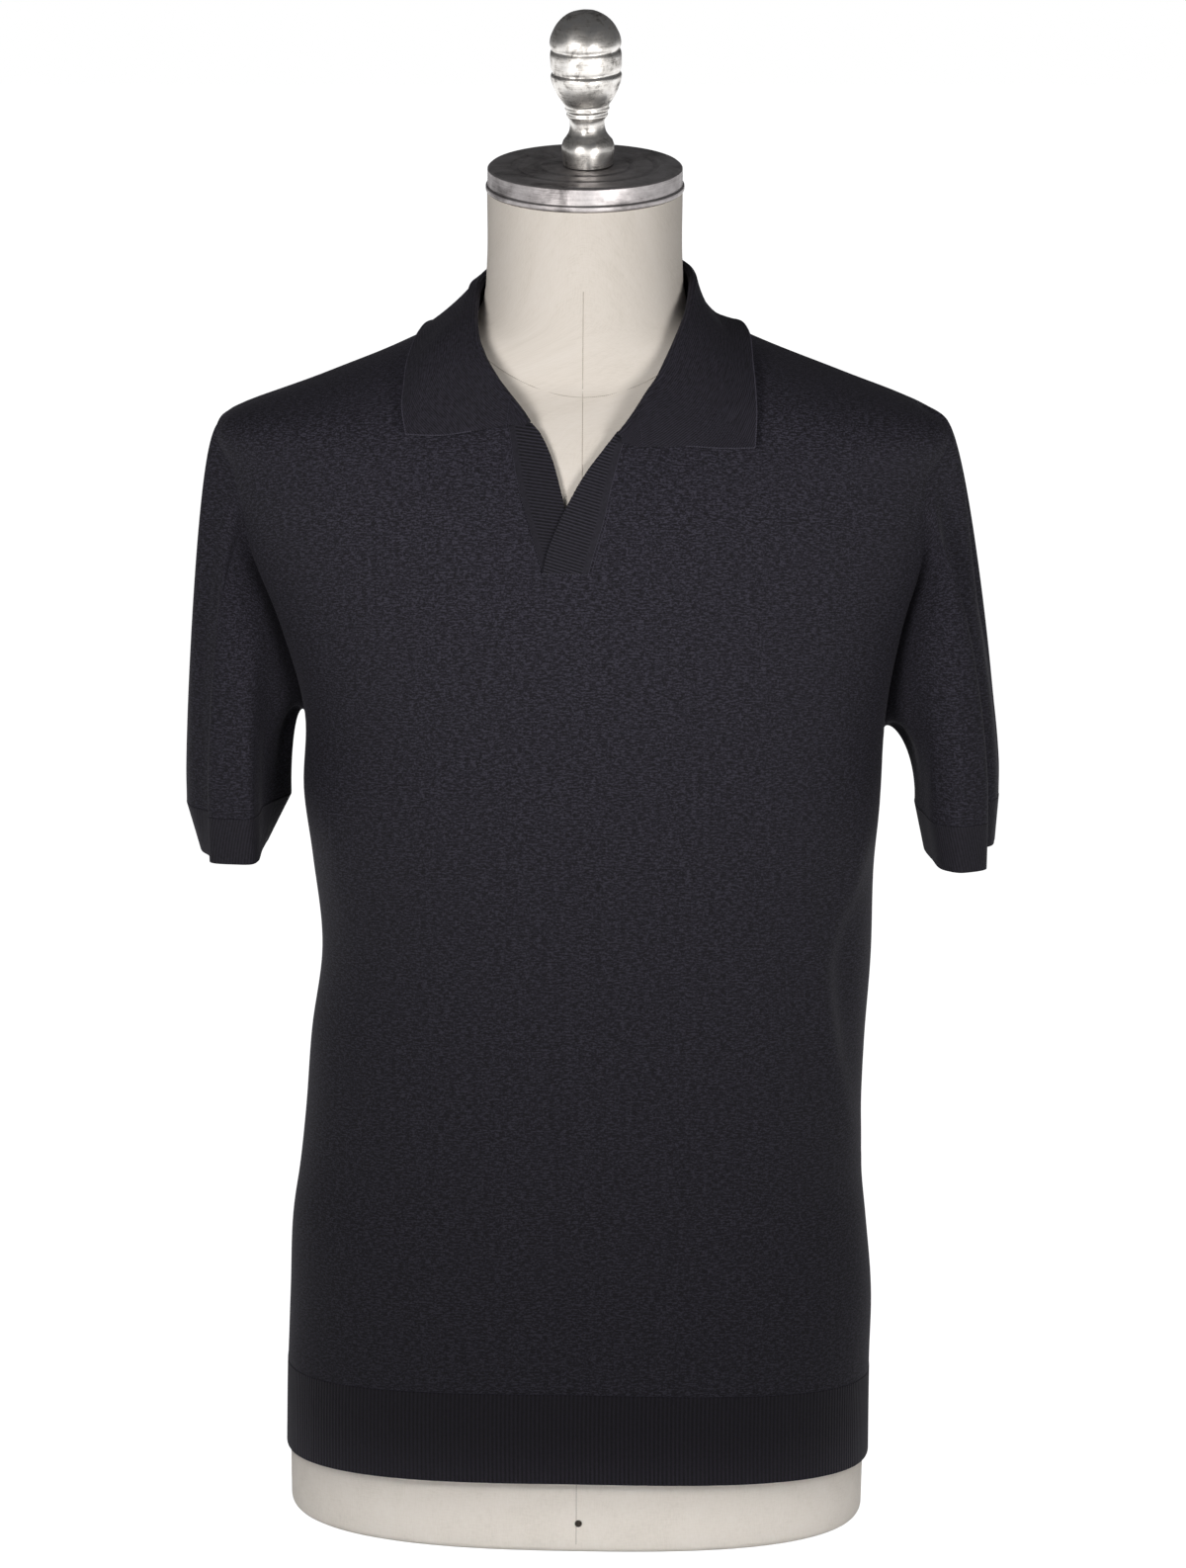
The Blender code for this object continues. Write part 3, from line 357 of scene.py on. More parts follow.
def ease(share):
    """0 to 1 as the share goes from 0 to 1, with a soft start and end."""
    share = np.clip(share, 0.0, 1.0)
    return share * share * (3 - 2 * share)


def turns_of(count):
    """This many even angles around a full turn, of which the last stops short of the first."""
    return np.linspace(0, 2 * math.pi, count, endpoint=False)


def lengths_along(points):
    """How far along the line through these points each of them lies."""
    return np.concatenate(([0.0], np.cumsum(np.linalg.norm(np.diff(points, axis=0), axis=1))))


def section(table, height):
    """The five sizes of a lofted body's section at each height, each as an array of its own."""
    keys = [row[0] for row in table]
    return np.moveaxis(through(keys, [row[1:] for row in table], height), -1, 0)


def section_point(table, height, angle):
    """Points on a lofted body, at heights and angles around it."""
    height, angle = np.broadcast_arrays(np.asarray(height, float), np.asarray(angle, float))
    left, right, front, back, square = section(table, height)
    across, forward = np.cos(angle), np.sin(angle)
    reach = (np.abs(across) ** square + np.abs(forward) ** square) ** (-1.0 / square)
    depth = np.where(forward >= 0, front, back)
    sideways = (left + right) / 2 + (right - left) / 2 * reach * across
    return np.stack((sideways, -depth * reach * forward, height), -1)


def section_normal(table, height, angle):
    """The directions that lead away from a lofted body, at heights and angles around it."""
    height, angle = np.asarray(height, float), np.asarray(angle, float)
    rise, turn = SMALL_LENGTH, SMALL_ANGLE
    upward = section_point(table, height + rise, angle) - section_point(table, height - rise, angle)
    around = section_point(table, height, angle + turn) - section_point(table, height, angle - turn)
    return unit(np.cross(upward, around))


def angle_at(table, height, across):
    """The angle, on the front, at which the section at each height is this far across."""
    left, right, _, _, square = section(table, height)
    share = np.clip((across - (left + right) / 2) / ((right - left) / 2), -0.999, 0.999)
    return np.arctan2((1 - np.abs(share) ** square) ** (1 / square), share)


def outside(table, points):
    """About how far points lie outside a lofted body, with the direction that leads away from it."""

    def excess(places):
        left, right, front, back, square = section(table, places[..., 2])
        across = np.abs((places[..., 0] - (left + right) / 2) / ((right - left) / 2))
        along = np.abs(places[..., 1] / np.where(places[..., 1] < 0, front, back))
        return (across**square + along**square) ** (1 / square) - 1

    step = SMALL_LENGTH
    slope = np.stack([excess(points + step * axis) - excess(points - step * axis) for axis in np.eye(3)], -1)
    slope = slope / (2 * step)
    steepness = np.linalg.norm(slope, axis=-1)
    return excess(points) / steepness, slope / steepness[..., None]


def lifted(table, points, clearance):
    """The points themselves, or moved out until they are clear of the body."""
    for _ in range(3):
        distance, away = outside(table, points)
        points = points + away * np.maximum(clearance - distance, 0.0)[..., None]
    return points


def turned(points):
    """The points once the body is turned: it comes forward on the right and goes back on the left."""
    low, high = TURN_FADES
    moved = np.array(points, float)
    moved[..., 1] -= BODY_TURN * ease((high - moved[..., 2]) / (high - low)) * moved[..., 0]
    return moved


def grid_normals(grid, ring=False):
    """Unit normals of a grid of points from its own steps; the columns close into a ring when ring is set."""
    along = np.gradient(grid, axis=0)
    if ring:
        around = (np.roll(grid, -1, axis=1) - np.roll(grid, 1, axis=1)) / 2
    else:
        around = np.gradient(grid, axis=1)
    return unit(np.cross(around, along))


def tube_normals(grid):
    """Unit normals of a tube's grid that point out of the tube."""
    normals = grid_normals(grid, ring=True)
    from_middle = grid[-1] - grid[-1].mean(axis=0)
    return -normals if np.sum(normals[-1] * from_middle) < 0 else normals


def near_line(across, height, line):
    """How far spots of (across, height) are from a line of spots, and how far along it they lie, 0 to 1."""
    spots = np.stack((across, height), -1)
    line = np.asarray(line, float)
    lengths = np.linalg.norm(np.diff(line, axis=0), axis=1)
    total = lengths.sum()
    nearest = np.full(across.shape, 1e9)
    along = np.zeros(across.shape)
    for index, length in enumerate(lengths):
        step = line[index + 1] - line[index]
        share = np.clip(((spots - line[index]) @ step) / length**2, 0, 1)
        distance = np.linalg.norm(spots - (line[index] + share[..., None] * step), axis=-1)
        place = (lengths[:index].sum() + share * length) / total
        closer = distance < nearest
        nearest = np.where(closer, distance, nearest)
        along = np.where(closer, place, along)
    return nearest, along


def fold_relief(across, height, folds):
    """How far the cloth stands out of its plain form, in millimetres, where folds cross these spots."""
    relief = np.zeros(across.shape)
    for fold in folds:
        distance, along = near_line(across, height, fold["line"])
        fade = np.sin(math.pi * np.clip(along, 0.02, 0.98)) ** 0.6
        relief += fold["proud"] * fade * np.exp(-((distance / fold["width"]) ** 2))
    return relief


def hand(across, height):
    """The slight unevenness of knitted cloth that hangs, in millimetres."""
    return (
        0.28 * np.sin(across / 23.0 + 1.3 * np.sin(height / 61.0))
        + 0.22 * np.sin(height / 37.0 + 0.9 * np.sin(across / 31.0) + 2.0)
        + 0.12 * np.sin(across / 9.0 + height / 43.0)
    )


# ---------------------------------------------------------------- meshes

def link_mesh(name, points, faces, material, uv=None, sharp=50.0):
    """A mesh object from points in millimetres; uv holds each face corner's place on the flat cloth."""
    mesh = bpy.data.meshes.new(name)
    mesh.from_pydata((np.asarray(points) * MM).tolist(), [], faces)
    mesh.materials.append(material)
    if uv is not None:
        layer = mesh.uv_layers.new(name=CLOTH_UV)
        layer.data.foreach_set("uv", np.asarray(uv, float).ravel())
    mesh.validate()
    mesh.shade_smooth()
    if sharp:
        mesh.set_sharp_from_angle(angle=math.radians(sharp))
    item = bpy.data.objects.new(name, mesh)
    bpy.context.scene.collection.objects.link(item)
    return item


def whole_rows(grid, ring):
    """The grid's rows, which end with their first point again where they close into a ring."""
    return np.concatenate((grid, grid[:, :1]), axis=1) if ring else grid


def cloth_uv(grid, ring=False):
    """Each grid point's place on the flat cloth: along its row from the middle, and up its column."""
    rows = whole_rows(grid, ring)
    around = np.linalg.norm(np.diff(rows, axis=1), axis=2)
    across = np.concatenate((np.zeros((len(rows), 1)), np.cumsum(around, axis=1)), axis=1)
    across -= across[:, across.shape[1] // 2][:, None]
    climb = np.linalg.norm(np.diff(rows, axis=0), axis=2)
    up = np.concatenate((np.zeros((1, rows.shape[1])), np.cumsum(climb, axis=0)), axis=0)
    return np.stack((across, up), -1)


def add_cloth(name, grid, wall, material, ring=False, left_out=None, uv=None, normals=None):
    """A closed thin wall around a grid of middle points; left_out marks the cells without cloth."""
    rows, columns = grid.shape[:2]
    size = rows * columns
    normals = grid_normals(grid, ring) if normals is None else normals
    uv = cloth_uv(grid, ring) if uv is None else uv
    half = normals * (wall / 2)
    points = np.concatenate(((grid + half).reshape(size, 3), (grid - half).reshape(size, 3)))
    cells = columns if ring else columns - 1
    keep = np.ones((rows - 1, cells), bool) if left_out is None else ~left_out
    row, column = np.nonzero(keep)

    def cell_corners(wide, after):
        """Each cell's four points by number, where a row has this many and the next column is after."""
        low, high = row * wide, (row + 1) * wide
        return np.stack((low + column, low + after, high + after, high + column), 1)

    corners = cell_corners(columns, (column + 1) % columns)
    places = cell_corners(uv.shape[1], column + 1)
    flat = uv.reshape(-1, 2)
    first = points[corners[:, :3]]
    faces_out = np.cross(first[:, 1] - first[:, 0], first[:, 2] - first[:, 0])
    agree = np.sum(faces_out * half.reshape(size, 3)[corners[:, 0]]) > 0
    if not agree:
        corners, places = corners[:, ::-1], places[:, ::-1]
    faces = corners.tolist() + (corners[:, ::-1] + size).tolist()
    face_uv = [flat[places], flat[places[:, ::-1]]]
    edges = {}
    for cell, spots in zip(corners.tolist(), places.tolist()):
        for index in range(4):
            nxt = (index + 1) % 4
            edges[(cell[index], cell[nxt])] = (spots[index], spots[nxt])
    rim_uv = []
    for (start, end), (start_uv, end_uv) in edges.items():
        if (end, start) not in edges:
            faces.append([end, start, size + start, size + end])
            rim_uv.append([flat[end_uv], flat[start_uv], flat[start_uv], flat[end_uv]])
    face_uv.append(np.array(rim_uv).reshape(-1, 4, 2))
    used = sorted({corner for face in faces for corner in face})
    order = np.full(2 * size, -1)
    order[used] = np.arange(len(used))
    faces = [[int(order[corner]) for corner in face] for face in faces]
    return link_mesh(name, turned(points[used]), faces, material, uv=np.concatenate(face_uv).reshape(-1, 2))


def soft_rim(item, width):
    """Rounds the cut edges of a cloth wall by this many millimetres."""
    rim = item.modifiers.new("soft_rim", "BEVEL")
    rim.width = width * MM
    rim.segments = 2
    rim.limit_method = "ANGLE"
    rim.angle_limit = math.radians(55)


def declare_sheet(grid, ring, left_out=None):
    """Works out the area of each of the cloth's cells, closing its rows into a ring where it is a tube, with
    none where a cell is left out; the areas are not used.
    """
    rows = whole_rows(grid, ring)
    side = np.cross(rows[1:, :-1] - rows[:-1, :-1], rows[:-1, 1:] - rows[:-1, :-1])
    cells = np.linalg.norm(side, axis=2)
    if left_out is not None:
        cells = np.where(left_out, 0.0, cells)


def add_lathe(name, outline, sides, material, wobble=None):
    """A closed solid turned around its own Z axis, from an outline that runs from the top to the bottom."""
    outline = np.asarray(outline, float)
    turns = turns_of(sides)
    rings = outline[1:-1]
    radius, height = (rings[:, axis][:, None] * np.ones(sides) for axis in (0, 1))
    if wobble is not None:
        radius = radius + wobble(turns[None, :], height) * (radius > 0.5)
    grid = np.stack((radius * np.cos(turns), radius * np.sin(turns), height), -1)
    points = [*grid.reshape(-1, 3), (0, 0, outline[0][1]), (0, 0, outline[-1][1])]
    top, bottom = len(points) - 2, len(points) - 1
    faces = []
    for side in range(sides):
        after = (side + 1) % sides
        faces.append([top, side, after])
        for row in range(len(rings) - 1):
            start, below = row * sides, (row + 1) * sides
            faces.append([start + side, below + side, below + after, start + after])
        last = (len(rings) - 1) * sides
        faces.append([last + side, bottom, last + after])
    return link_mesh(name, points, faces, material, sharp=32.0)


def rounded_outline(outline, rounding, steps=3):
    """A turned outline with its corners rounded over this many millimetres."""
    outline = np.asarray(outline, float)
    made = [outline[0]]
    for index in range(1, len(outline) - 1):
        before, here, after = outline[index - 1:index + 2]
        back, ahead = before - here, after - here
        room = min(rounding, 0.45 * np.linalg.norm(back), 0.45 * np.linalg.norm(ahead))
        first, last = here + unit(back) * room, here + unit(ahead) * room
        for share in np.linspace(0, 1, steps + 1):
            made.append((1 - share) ** 2 * first + 2 * share * (1 - share) * here + share**2 * last)
    made.append(outline[-1])
    return made


def smooth_outline(outline, per_row):
    """A turned outline with more points, by a cubic through its rows."""
    outline = np.asarray(outline, float)
    lengths = lengths_along(outline)
    spots = np.concatenate([np.linspace(a, b, per_row, endpoint=False) for a, b in zip(lengths, lengths[1:])])
    return [*through(lengths, outline, spots), outline[-1]]


def resampled(points, spacing):
    """Points at about this even spacing along a line."""
    lengths = lengths_along(points)
    spots = np.linspace(0, lengths[-1], max(2, round(lengths[-1] / spacing)))
    return np.stack([np.interp(spots, lengths, points[:, axis]) for axis in range(3)], -1)


# One loop of yarn: places along the stitch by its length, with the share of the yarn's radius there.
STITCH_LOOP = ((-0.5, 0.35), (-0.25, 0.9), (0.0, 1.0), (0.25, 0.9), (0.5, 0.35))
STITCH_FLATNESS = 0.8


def add_linking(name, lines, table, stitch, radius, material, proud=0.0):
    """Adds linking stitches: small rounded loops of yarn along each line of points on a lofted body."""
    ring = 6
    turns = turns_of(ring)
    points, faces = [], []
    for line in lines:
        line = resampled(line, stitch)
        ahead = unit(np.gradient(line, axis=0))
        outward = outside(table, line)[1]
        outward = unit(outward - ahead * np.sum(outward * ahead, axis=1, keepdims=True))
        beside = np.cross(ahead, outward)
        for spot, along, out, side in zip(line, ahead, outward, beside):
            start = len(points)
            for place, share in STITCH_LOOP:
                middle = spot + along * place * stitch + out * proud
                for turn in turns:
                    rise = out * STITCH_FLATNESS * math.sin(turn)
                    points.append(middle + radius * share * (side * math.cos(turn) + rise))
            last = start + (len(STITCH_LOOP) - 1) * ring
            for low in range(start, last, ring):
                for index in range(ring):
                    after = (index + 1) % ring
                    faces.append([low + index, low + after, low + ring + after, low + ring + index])
            faces.append([start + index for index in reversed(range(ring))])
            faces.append([last + index for index in range(ring)])
    item = link_mesh(name, turned(np.array(points)), faces, material, sharp=0)
    add_to_shirt(item)


# ---------------------------------------------------------------- body panels

SKIRT_CELLS, ARMHOLE_CELLS, SHOULDER_CELLS = 72, 56, 20
PANEL_CELLS, SLIT_CELLS = 56, 8
CALM_CELLS = 5
SKIRT_START = RIB_TOP_AT_SIDES + SEAM_GAP


def rib_top(angle):
    """The height of the hem rib's seam at these angles around the body."""
    return RIB_TOP_AT_SIDES + RIB_TOP_RISE * np.sin(angle) ** 2


def hem_edge(angle):
    """The height of the hem's free edge at these angles around the body."""
    return HEM_AT_SIDES + HEM_RISE * np.sin(angle) ** 2


def armhole_spot(arm, around):
    """Heights and body angles of the armhole seam; around is 0 at the shoulder tip and pi/2 at the front."""
    hole = ARMHOLES[arm]
    around = np.asarray(around, float)
    upward, forward = np.cos(around), np.sin(around)
    square = np.where(upward > 0, ARMHOLE_SQUARE_TOP, ARMHOLE_SQUARE_FOOT)
    reach = (np.abs(upward) ** square + np.abs(forward) ** square) ** (-1 / square)
    height = (hole["tip"] + hole["underarm"]) / 2 + (hole["tip"] - hole["underarm"]) / 2 * reach * upward
    low, high = FRONT_SEAM_TURNS_IN
    turned_out = ease((reach * upward - low) / (high - low))
    front = hole["front_low"] + (hole["front"] - hole["front_low"]) * turned_out
    turn = np.radians(np.where(forward >= 0, front, hole["back"])) * reach * forward
    return height, hole["side"] + (turn if arm == "right" else -turn)


def outer_edges(face):
    """Heights and angles up a panel's outer edges, by row and side; face is 1 at the front, -1 at the back."""
    seam_turn = SEAM_TURN * face
    columns = []
    for arm, side in (("left", math.pi - seam_turn), ("right", seam_turn)):
        hole = ARMHOLES[arm]
        low = np.linspace(SKIRT_START, hole["underarm"], SKIRT_CELLS, endpoint=False)
        around = math.pi * (1 - np.arange(ARMHOLE_CELLS + 1) / ARMHOLE_CELLS) * face
        height, angle = armhole_spot(arm, around)
        angle[0] = angle[-1] = side
        high = np.linspace(hole["tip"], SHOULDER_SEAM_ENDS, SHOULDER_CELLS + 1)[1:]
        heights = np.concatenate((low, height, high))
        angles = np.concatenate((np.full(SKIRT_CELLS, side), angle, np.full(SHOULDER_CELLS, side)))
        columns.append(np.stack((heights, angles), -1))
    return np.stack(columns, 1)


def over_rib(heights, angles):
    """The heights with the skirt's rows lifted to the hem rib's curved top, most at its foot."""
    lift = np.clip(1 - np.arange(len(heights)) / SKIRT_CELLS, 0, 1)[:, None]
    return heights + lift * RIB_TOP_RISE * np.sin(angles) ** 2


def body_cloth(heights, angles):
    """The body's cloth with its folds and unevenness, which fade out towards the panel's edges."""
    row, column = (np.minimum(np.arange(count), np.arange(count)[::-1]) for count in heights.shape)
    fade = ease(np.minimum(row[:, None], column[None, :]) / CALM_CELLS)
    points = section_point(BODY, heights, angles)
    normals = section_normal(BODY, heights, angles)
    front = points[..., 1] < 0
    folds = np.where(front, fold_relief(points[..., 0], points[..., 2], BODY_FOLDS), 0.0)
    relief = folds + hand(points[..., 0] + 0.4 * points[..., 1], points[..., 2])
    return points + normals * (relief * fade)[..., None]


def front_spots():
    """Heights and angles over the front panel, with the cells of its opening, which hold no cloth."""
    edges = outer_edges(1)
    slit_row, top_row = SKIRT_CELLS + ARMHOLE_CELLS // 2, len(edges) - 1
    slit_bottom = UNDER_BAND[0][1] - SEAM_GAP
    row = np.arange(len(edges))
    inner = {}
    for arm, table, neckline, shift in (
        ("left", UNDER_BAND, NECKLINE_LEFT, -SEAM_GAP),
        ("right", OVER_BAND, NECKLINE_RIGHT, SEAM_GAP),
    ):
        line = [(spot[0] + shift, spot[1]) for spot in table] + list(neckline)
        place = np.clip((row - slit_row) / (top_row - slit_row), 0, 1) * (len(line) - 1)
        across, height = np.moveaxis(through(range(len(line)), line, place), -1, 0)
        low = np.interp(row, (0, SKIRT_CELLS, slit_row), (SKIRT_START, MIDDLE_AT_UNDERARM, slit_bottom))
        height = np.where(row <= slit_row, low, height)
        inner[arm] = np.stack((height, angle_at(BODY, height, across)), -1)
    shares = np.linspace(0, 1, PANEL_CELLS + 1)[None, :, None]
    middle = np.linspace(0, 1, SLIT_CELLS + 1)[None, 1:-1, None]
    left = edges[:, None, 0] + (inner["left"] - edges[:, 0])[:, None] * shares
    slit = inner["left"][:, None] + (inner["right"] - inner["left"])[:, None] * middle
    right = inner["right"][:, None] + (edges[:, 1] - inner["right"])[:, None] * shares
    spots = np.concatenate((left, slit, right), axis=1)
    heights, angles = spots[..., 0], spots[..., 1]
    left_out = np.zeros((top_row, spots.shape[1] - 1), bool)
    left_out[slit_row:, PANEL_CELLS:PANEL_CELLS + SLIT_CELLS] = True
    return over_rib(heights, angles), angles, left_out


def back_spots():
    """Heights and angles over the back panel."""
    edges = outer_edges(-1)
    stages = (0, SKIRT_CELLS, SKIRT_CELLS + ARMHOLE_CELLS, len(edges) - 1)
    middle_heights = (SKIRT_START, MIDDLE_AT_UNDERARM, MIDDLE_AT_TIP, BACK_NECK)
    middle = np.interp(np.arange(len(edges)), stages, middle_heights)
    share = np.linspace(0, 1, 2 * PANEL_CELLS + 1)[None, :]
    left, right = edges[:, None, 0], edges[:, None, 1]
    heights = left[..., 0] + (right[..., 0] - left[..., 0]) * share
    angles = left[..., 1] + (right[..., 1] + 2 * math.pi - left[..., 1]) * share
    heights = heights + (middle[:, None] - heights) * np.sin(math.pi * share) ** 2
    return over_rib(heights, angles), angles


# ---------------------------------------------------------------- sleeves and cuffs

def armhole_frame(arm, around):
    """The armhole seam's points, the cloth's direction across it and the body's outward direction."""
    point = section_point(BODY, *armhole_spot(arm, around))
    ahead = section_point(BODY, *armhole_spot(arm, around + SMALL_ANGLE))
    behind = section_point(BODY, *armhole_spot(arm, around - SMALL_ANGLE))
    outward = section_normal(BODY, *armhole_spot(arm, around))
    across = unit(np.cross(ahead - behind, outward))
    hole = ARMHOLES[arm]
    middle = section_point(BODY, (hole["tip"] + hole["underarm"]) / 2, hole["side"])
    inward = np.sum(across * (middle - point), axis=-1, keepdims=True) < 0
    return point, np.where(inward, -across, across), outward


def sleeve_line(arm, around):
    """The points on the line between sleeve and cuff."""
    rows = SLEEVE_LINES[arm]
    keys = [row[0] for row in rows]
    keys = [key - 360 for key in keys[-3:]] + keys + [key + 360 for key in keys[:3]]
    values = [row[1:] for row in rows[-3:] + rows + rows[:3]]
    spots = through(keys, values, np.degrees(around) % 360)
    return np.stack((spots[..., 0], -spots[..., 1], np.full(spots.shape[:-1], CUFF_LINE)), -1)


def by_side(values, around):
    """A value that is given at the top, at front and back, and at the underarm."""
    top, sides, under = values
    ends = (top + under) / 2
    return (ends + sides) / 2 + (top - under) / 2 * np.cos(around) + (ends - sides) / 2 * np.cos(2 * around)


def sleeve_point(arm, around, down):
    """Points of the sleeve's middle surface: down is 0 at the armhole seam and 1 at the cuff."""
    around, down = np.broadcast_arrays(np.asarray(around, float), np.asarray(down, float))
    point, across, _ = armhole_frame(arm, around)
    first = point + across * ARMHOLE_GAP
    last = sleeve_line(arm, around)
    sideways = np.array((1.0 if arm == "right" else -1.0, 0, 0))
    fold = ease(np.interp(np.degrees(around) % 360, *SLEEVE_FOLD_RUN))[..., None]
    forward = np.array((0, -SLEEVE_FOLD_FORWARD, 0))
    leaving = across * (1 - SLEEVE_FOLD_TURN * fold) + sideways * SLEEVE_FLARE + forward * fold
    second = first + unit(leaving) * (by_side(SLEEVE_START, around)[..., None] + SLEEVE_FOLD_REACH * fold)
    third = last + by_side(SLEEVE_END, around)[..., None] * np.array((0, 0, 1.0))
    up, down = (1 - down)[..., None], down[..., None]
    return up**3 * first + 3 * up**2 * down * second + 3 * up * down**2 * third + down**3 * last


def cuff_point(arm, around, down):
    """Points of the cuff's middle surface: down is 0 at the sleeve and 1 at the free edge."""
    taper = CUFF_TAPER[arm]
    point = sleeve_line(arm, around)
    across = point[..., 0] - taper["middle"]
    inner = ((across > 0) == (arm == "left")).astype(int)
    keep, closing = np.array(taper["keep"])[inner], np.array(taper["closing"])[inner]
    reach = np.minimum(np.abs(across), keep) + np.maximum(np.abs(across) - keep, 0.0) * closing
    closed = np.stack((
        taper["middle"] + np.sign(across) * reach + taper["shift"],
        point[..., 1] * CUFF_TAPER_FORWARD,
        np.full(point.shape[:-1], CUFF_EDGE),
    ), -1)
    top = point - np.array((0, 0, SEAM_GAP))
    return top + (closed - top) * np.asarray(down)[..., None]


# ---------------------------------------------------------------- opening bands and collar

def band_grid(table, level_at, rows, columns):
    """Points over a band between the seam and the free edge of its table, with their outward directions."""
    seam_x, seam_z, edge_x, edge_z = np.moveaxis(
        through(range(len(table)), table, np.linspace(0, len(table) - 1, rows)), -1, 0)
    share = np.linspace(0, 1, columns)[None, :]
    height = seam_z[:, None] + (edge_z - seam_z)[:, None] * share
    across = seam_x[:, None] + (edge_x - seam_x)[:, None] * share
    angle = angle_at(BODY, height, across)
    normal = section_normal(BODY, height, angle)
    level = level_at(height, np.abs(across - seam_x[:, None]))
    return section_point(BODY, height, angle) + normal * level[..., None], normal


def under_level(height, _):
    """How far the band underneath lies from the body: inside it at its foot, and level with it further up."""
    low, high = UNDER_BAND_RISES
    return -BAND_STEP * ease((high - height) / (high - low))


def over_level(_, from_seam):
    """How far the band on top lies outside the body: it rises from its seam over its first millimetres."""
    return BAND_STEP * np.minimum(1.0, from_seam / BAND_STEP_RUN)


def collar_grid(stations):
    """Rows of points across the collar, from the neckline seam over the roll to the free edge."""
    keys = range(len(COLLAR))
    row = through(keys, COLLAR, stations)
    seam, fold = row[:, 0:3], row[:, 3:6]
    edge = through(keys, COLLAR, stations, corners=COLLAR_TIP_ROWS)[:, 6:9]
    bulge = row[:, 9:10]
    _, away = outside(BODY, seam)
    rise = unit(fold - seam)
    out = unit(away - rise * np.sum(away * rise, axis=1, keepdims=True))
    centre = fold - rise * COLLAR_ROLL
    inner = centre - out * COLLAR_ROLL
    points = [seam + (inner - seam) * share for share in COLLAR_STAND]
    for turn in COLLAR_ROLL_TURNS:
        angle = math.radians(turn)
        points.append(centre + COLLAR_ROLL * (rise * math.sin(angle) - out * math.cos(angle)))
    start = points[-1]
    middle = start + (edge - start) / 2 + unit(out + rise * COLLAR_BULGE_RISE) * bulge * 2
    for share in COLLAR_FALL:
        rest = 1 - share
        point = rest**2 * start + 2 * rest * share * middle + share**2 * edge
        points.append(lifted(BODY, point, COLLAR_CLEARANCE + COLLAR_EDGE_LIFT * share**4))
    return np.stack(points, 1)


# ---------------------------------------------------------------- finishes

def linear(hex_colour):
    """The linear colour of an sRGB hex value such as #2e2d35."""
    parts = [int(hex_colour[index:index + 2], 16) / 255 for index in (1, 3, 5)]
    return tuple(part / 12.92 if part <= 0.04045 else ((part + 0.055) / 1.055) ** 2.4 for part in parts)


def the_settings():
    return bpy.context.scene.polo_shirt


def node(tree, kind, inputs=None, **settings):
    """Adds a node of this kind; inputs holds values or other nodes' sockets by this node's socket."""
    made = tree.nodes.new(kind)
    for name, value in settings.items():
        setattr(made, name, value)
    for name, value in (inputs or {}).items():
        if isinstance(value, bpy.types.NodeSocket):
            tree.links.new(value, made.inputs[name])
        else:
            made.inputs[name].default_value = value
    return made


def made_once(make):
    """Shares one finish of each name among all the pieces that have it."""
    @functools.wraps(make)
    def finish(name, *details, **more):
        return bpy.data.materials.get(name) or make(name, *details, **more)
    return finish


def new_material(name, roughness, metallic=0.0, sockets=None):
    """A material with its nodes and its Principled shader, whose constant values are set on its own sockets."""
    material = bpy.data.materials.new(name)
    material.use_nodes = True
    surface = material.node_tree.nodes["Principled BSDF"]
    for socket, value in {"Roughness": roughness, "Metallic": metallic, **(sockets or {})}.items():
        surface.inputs[socket].default_value = value
    return material, material.node_tree, surface


def yarn_surface(name):
    """A matt woollen surface, whose fuzz catches a little light where the cloth turns away."""
    return new_material(name, 0.92, sockets={
        "Sheen Weight": the_settings().cloth_sheen,
        "Sheen Roughness": 0.45,
        "Sheen Tint": (*linear("#b9b6c6"), 1.0),
        "Specular IOR Level": 0.25,
    })


def colour_by(tree, surface, shade, *stops):
    """Colours a surface by a value, through sRGB hex colours at their places."""
    ramp = node(tree, "ShaderNodeValToRGB", {"Fac": shade})
    bands = ramp.color_ramp.elements
    while len(bands) < len(stops):
        bands.new(0.5)
    for band, (place, colour) in zip(bands, stops):
        band.position = place
        band.color = (*linear(colour), 1.0)
    tree.links.new(ramp.outputs["Color"], surface.inputs["Base Color"])


def raise_by(tree, surface, height, strength, relief):
    """Gives a surface the relief of a value, up to this many millimetres."""
    bump = node(tree, "ShaderNodeBump", {"Height": height, "Strength": strength, "Distance": relief * MM})
    tree.links.new(bump.outputs["Normal"], surface.inputs["Normal"])


def weighed_sum(tree, *parts, base=0.0):
    """The sum of a base and of values, each of them given with its weight."""
    total = base
    for value, weight in parts:
        step = node(tree, "ShaderNodeMath", {0: value, 1: weight, 2: total}, operation="MULTIPLY_ADD")
        total = step.outputs["Value"]
    return total


def streaks(tree, place, size, detail=2.0, roughness=0.55):
    """Noise whose patches are about size = (across, along) millimetres."""
    scaled = node(tree, "ShaderNodeMapping", {"Vector": place, "Scale": (1 / size[0], 1 / size[1], 1.0)})
    return node(tree, "ShaderNodeTexNoise", {
        "Vector": scaled.outputs["Vector"], "Scale": 1.0, "Detail": detail, "Roughness": roughness,
        "Distortion": 0.5,
    }, noise_dimensions="2D").outputs["Fac"]


def ribs(tree, across, pitch):
    """0 to 1 across each rib of a rib knit, by the distance across the ribs in millimetres."""
    phase = weighed_sum(tree, (across, 2 * math.pi / pitch))
    wave = node(tree, "ShaderNodeMath", {0: phase}, operation="SINE").outputs["Value"]
    return weighed_sum(tree, (wave, 0.5), base=0.5)


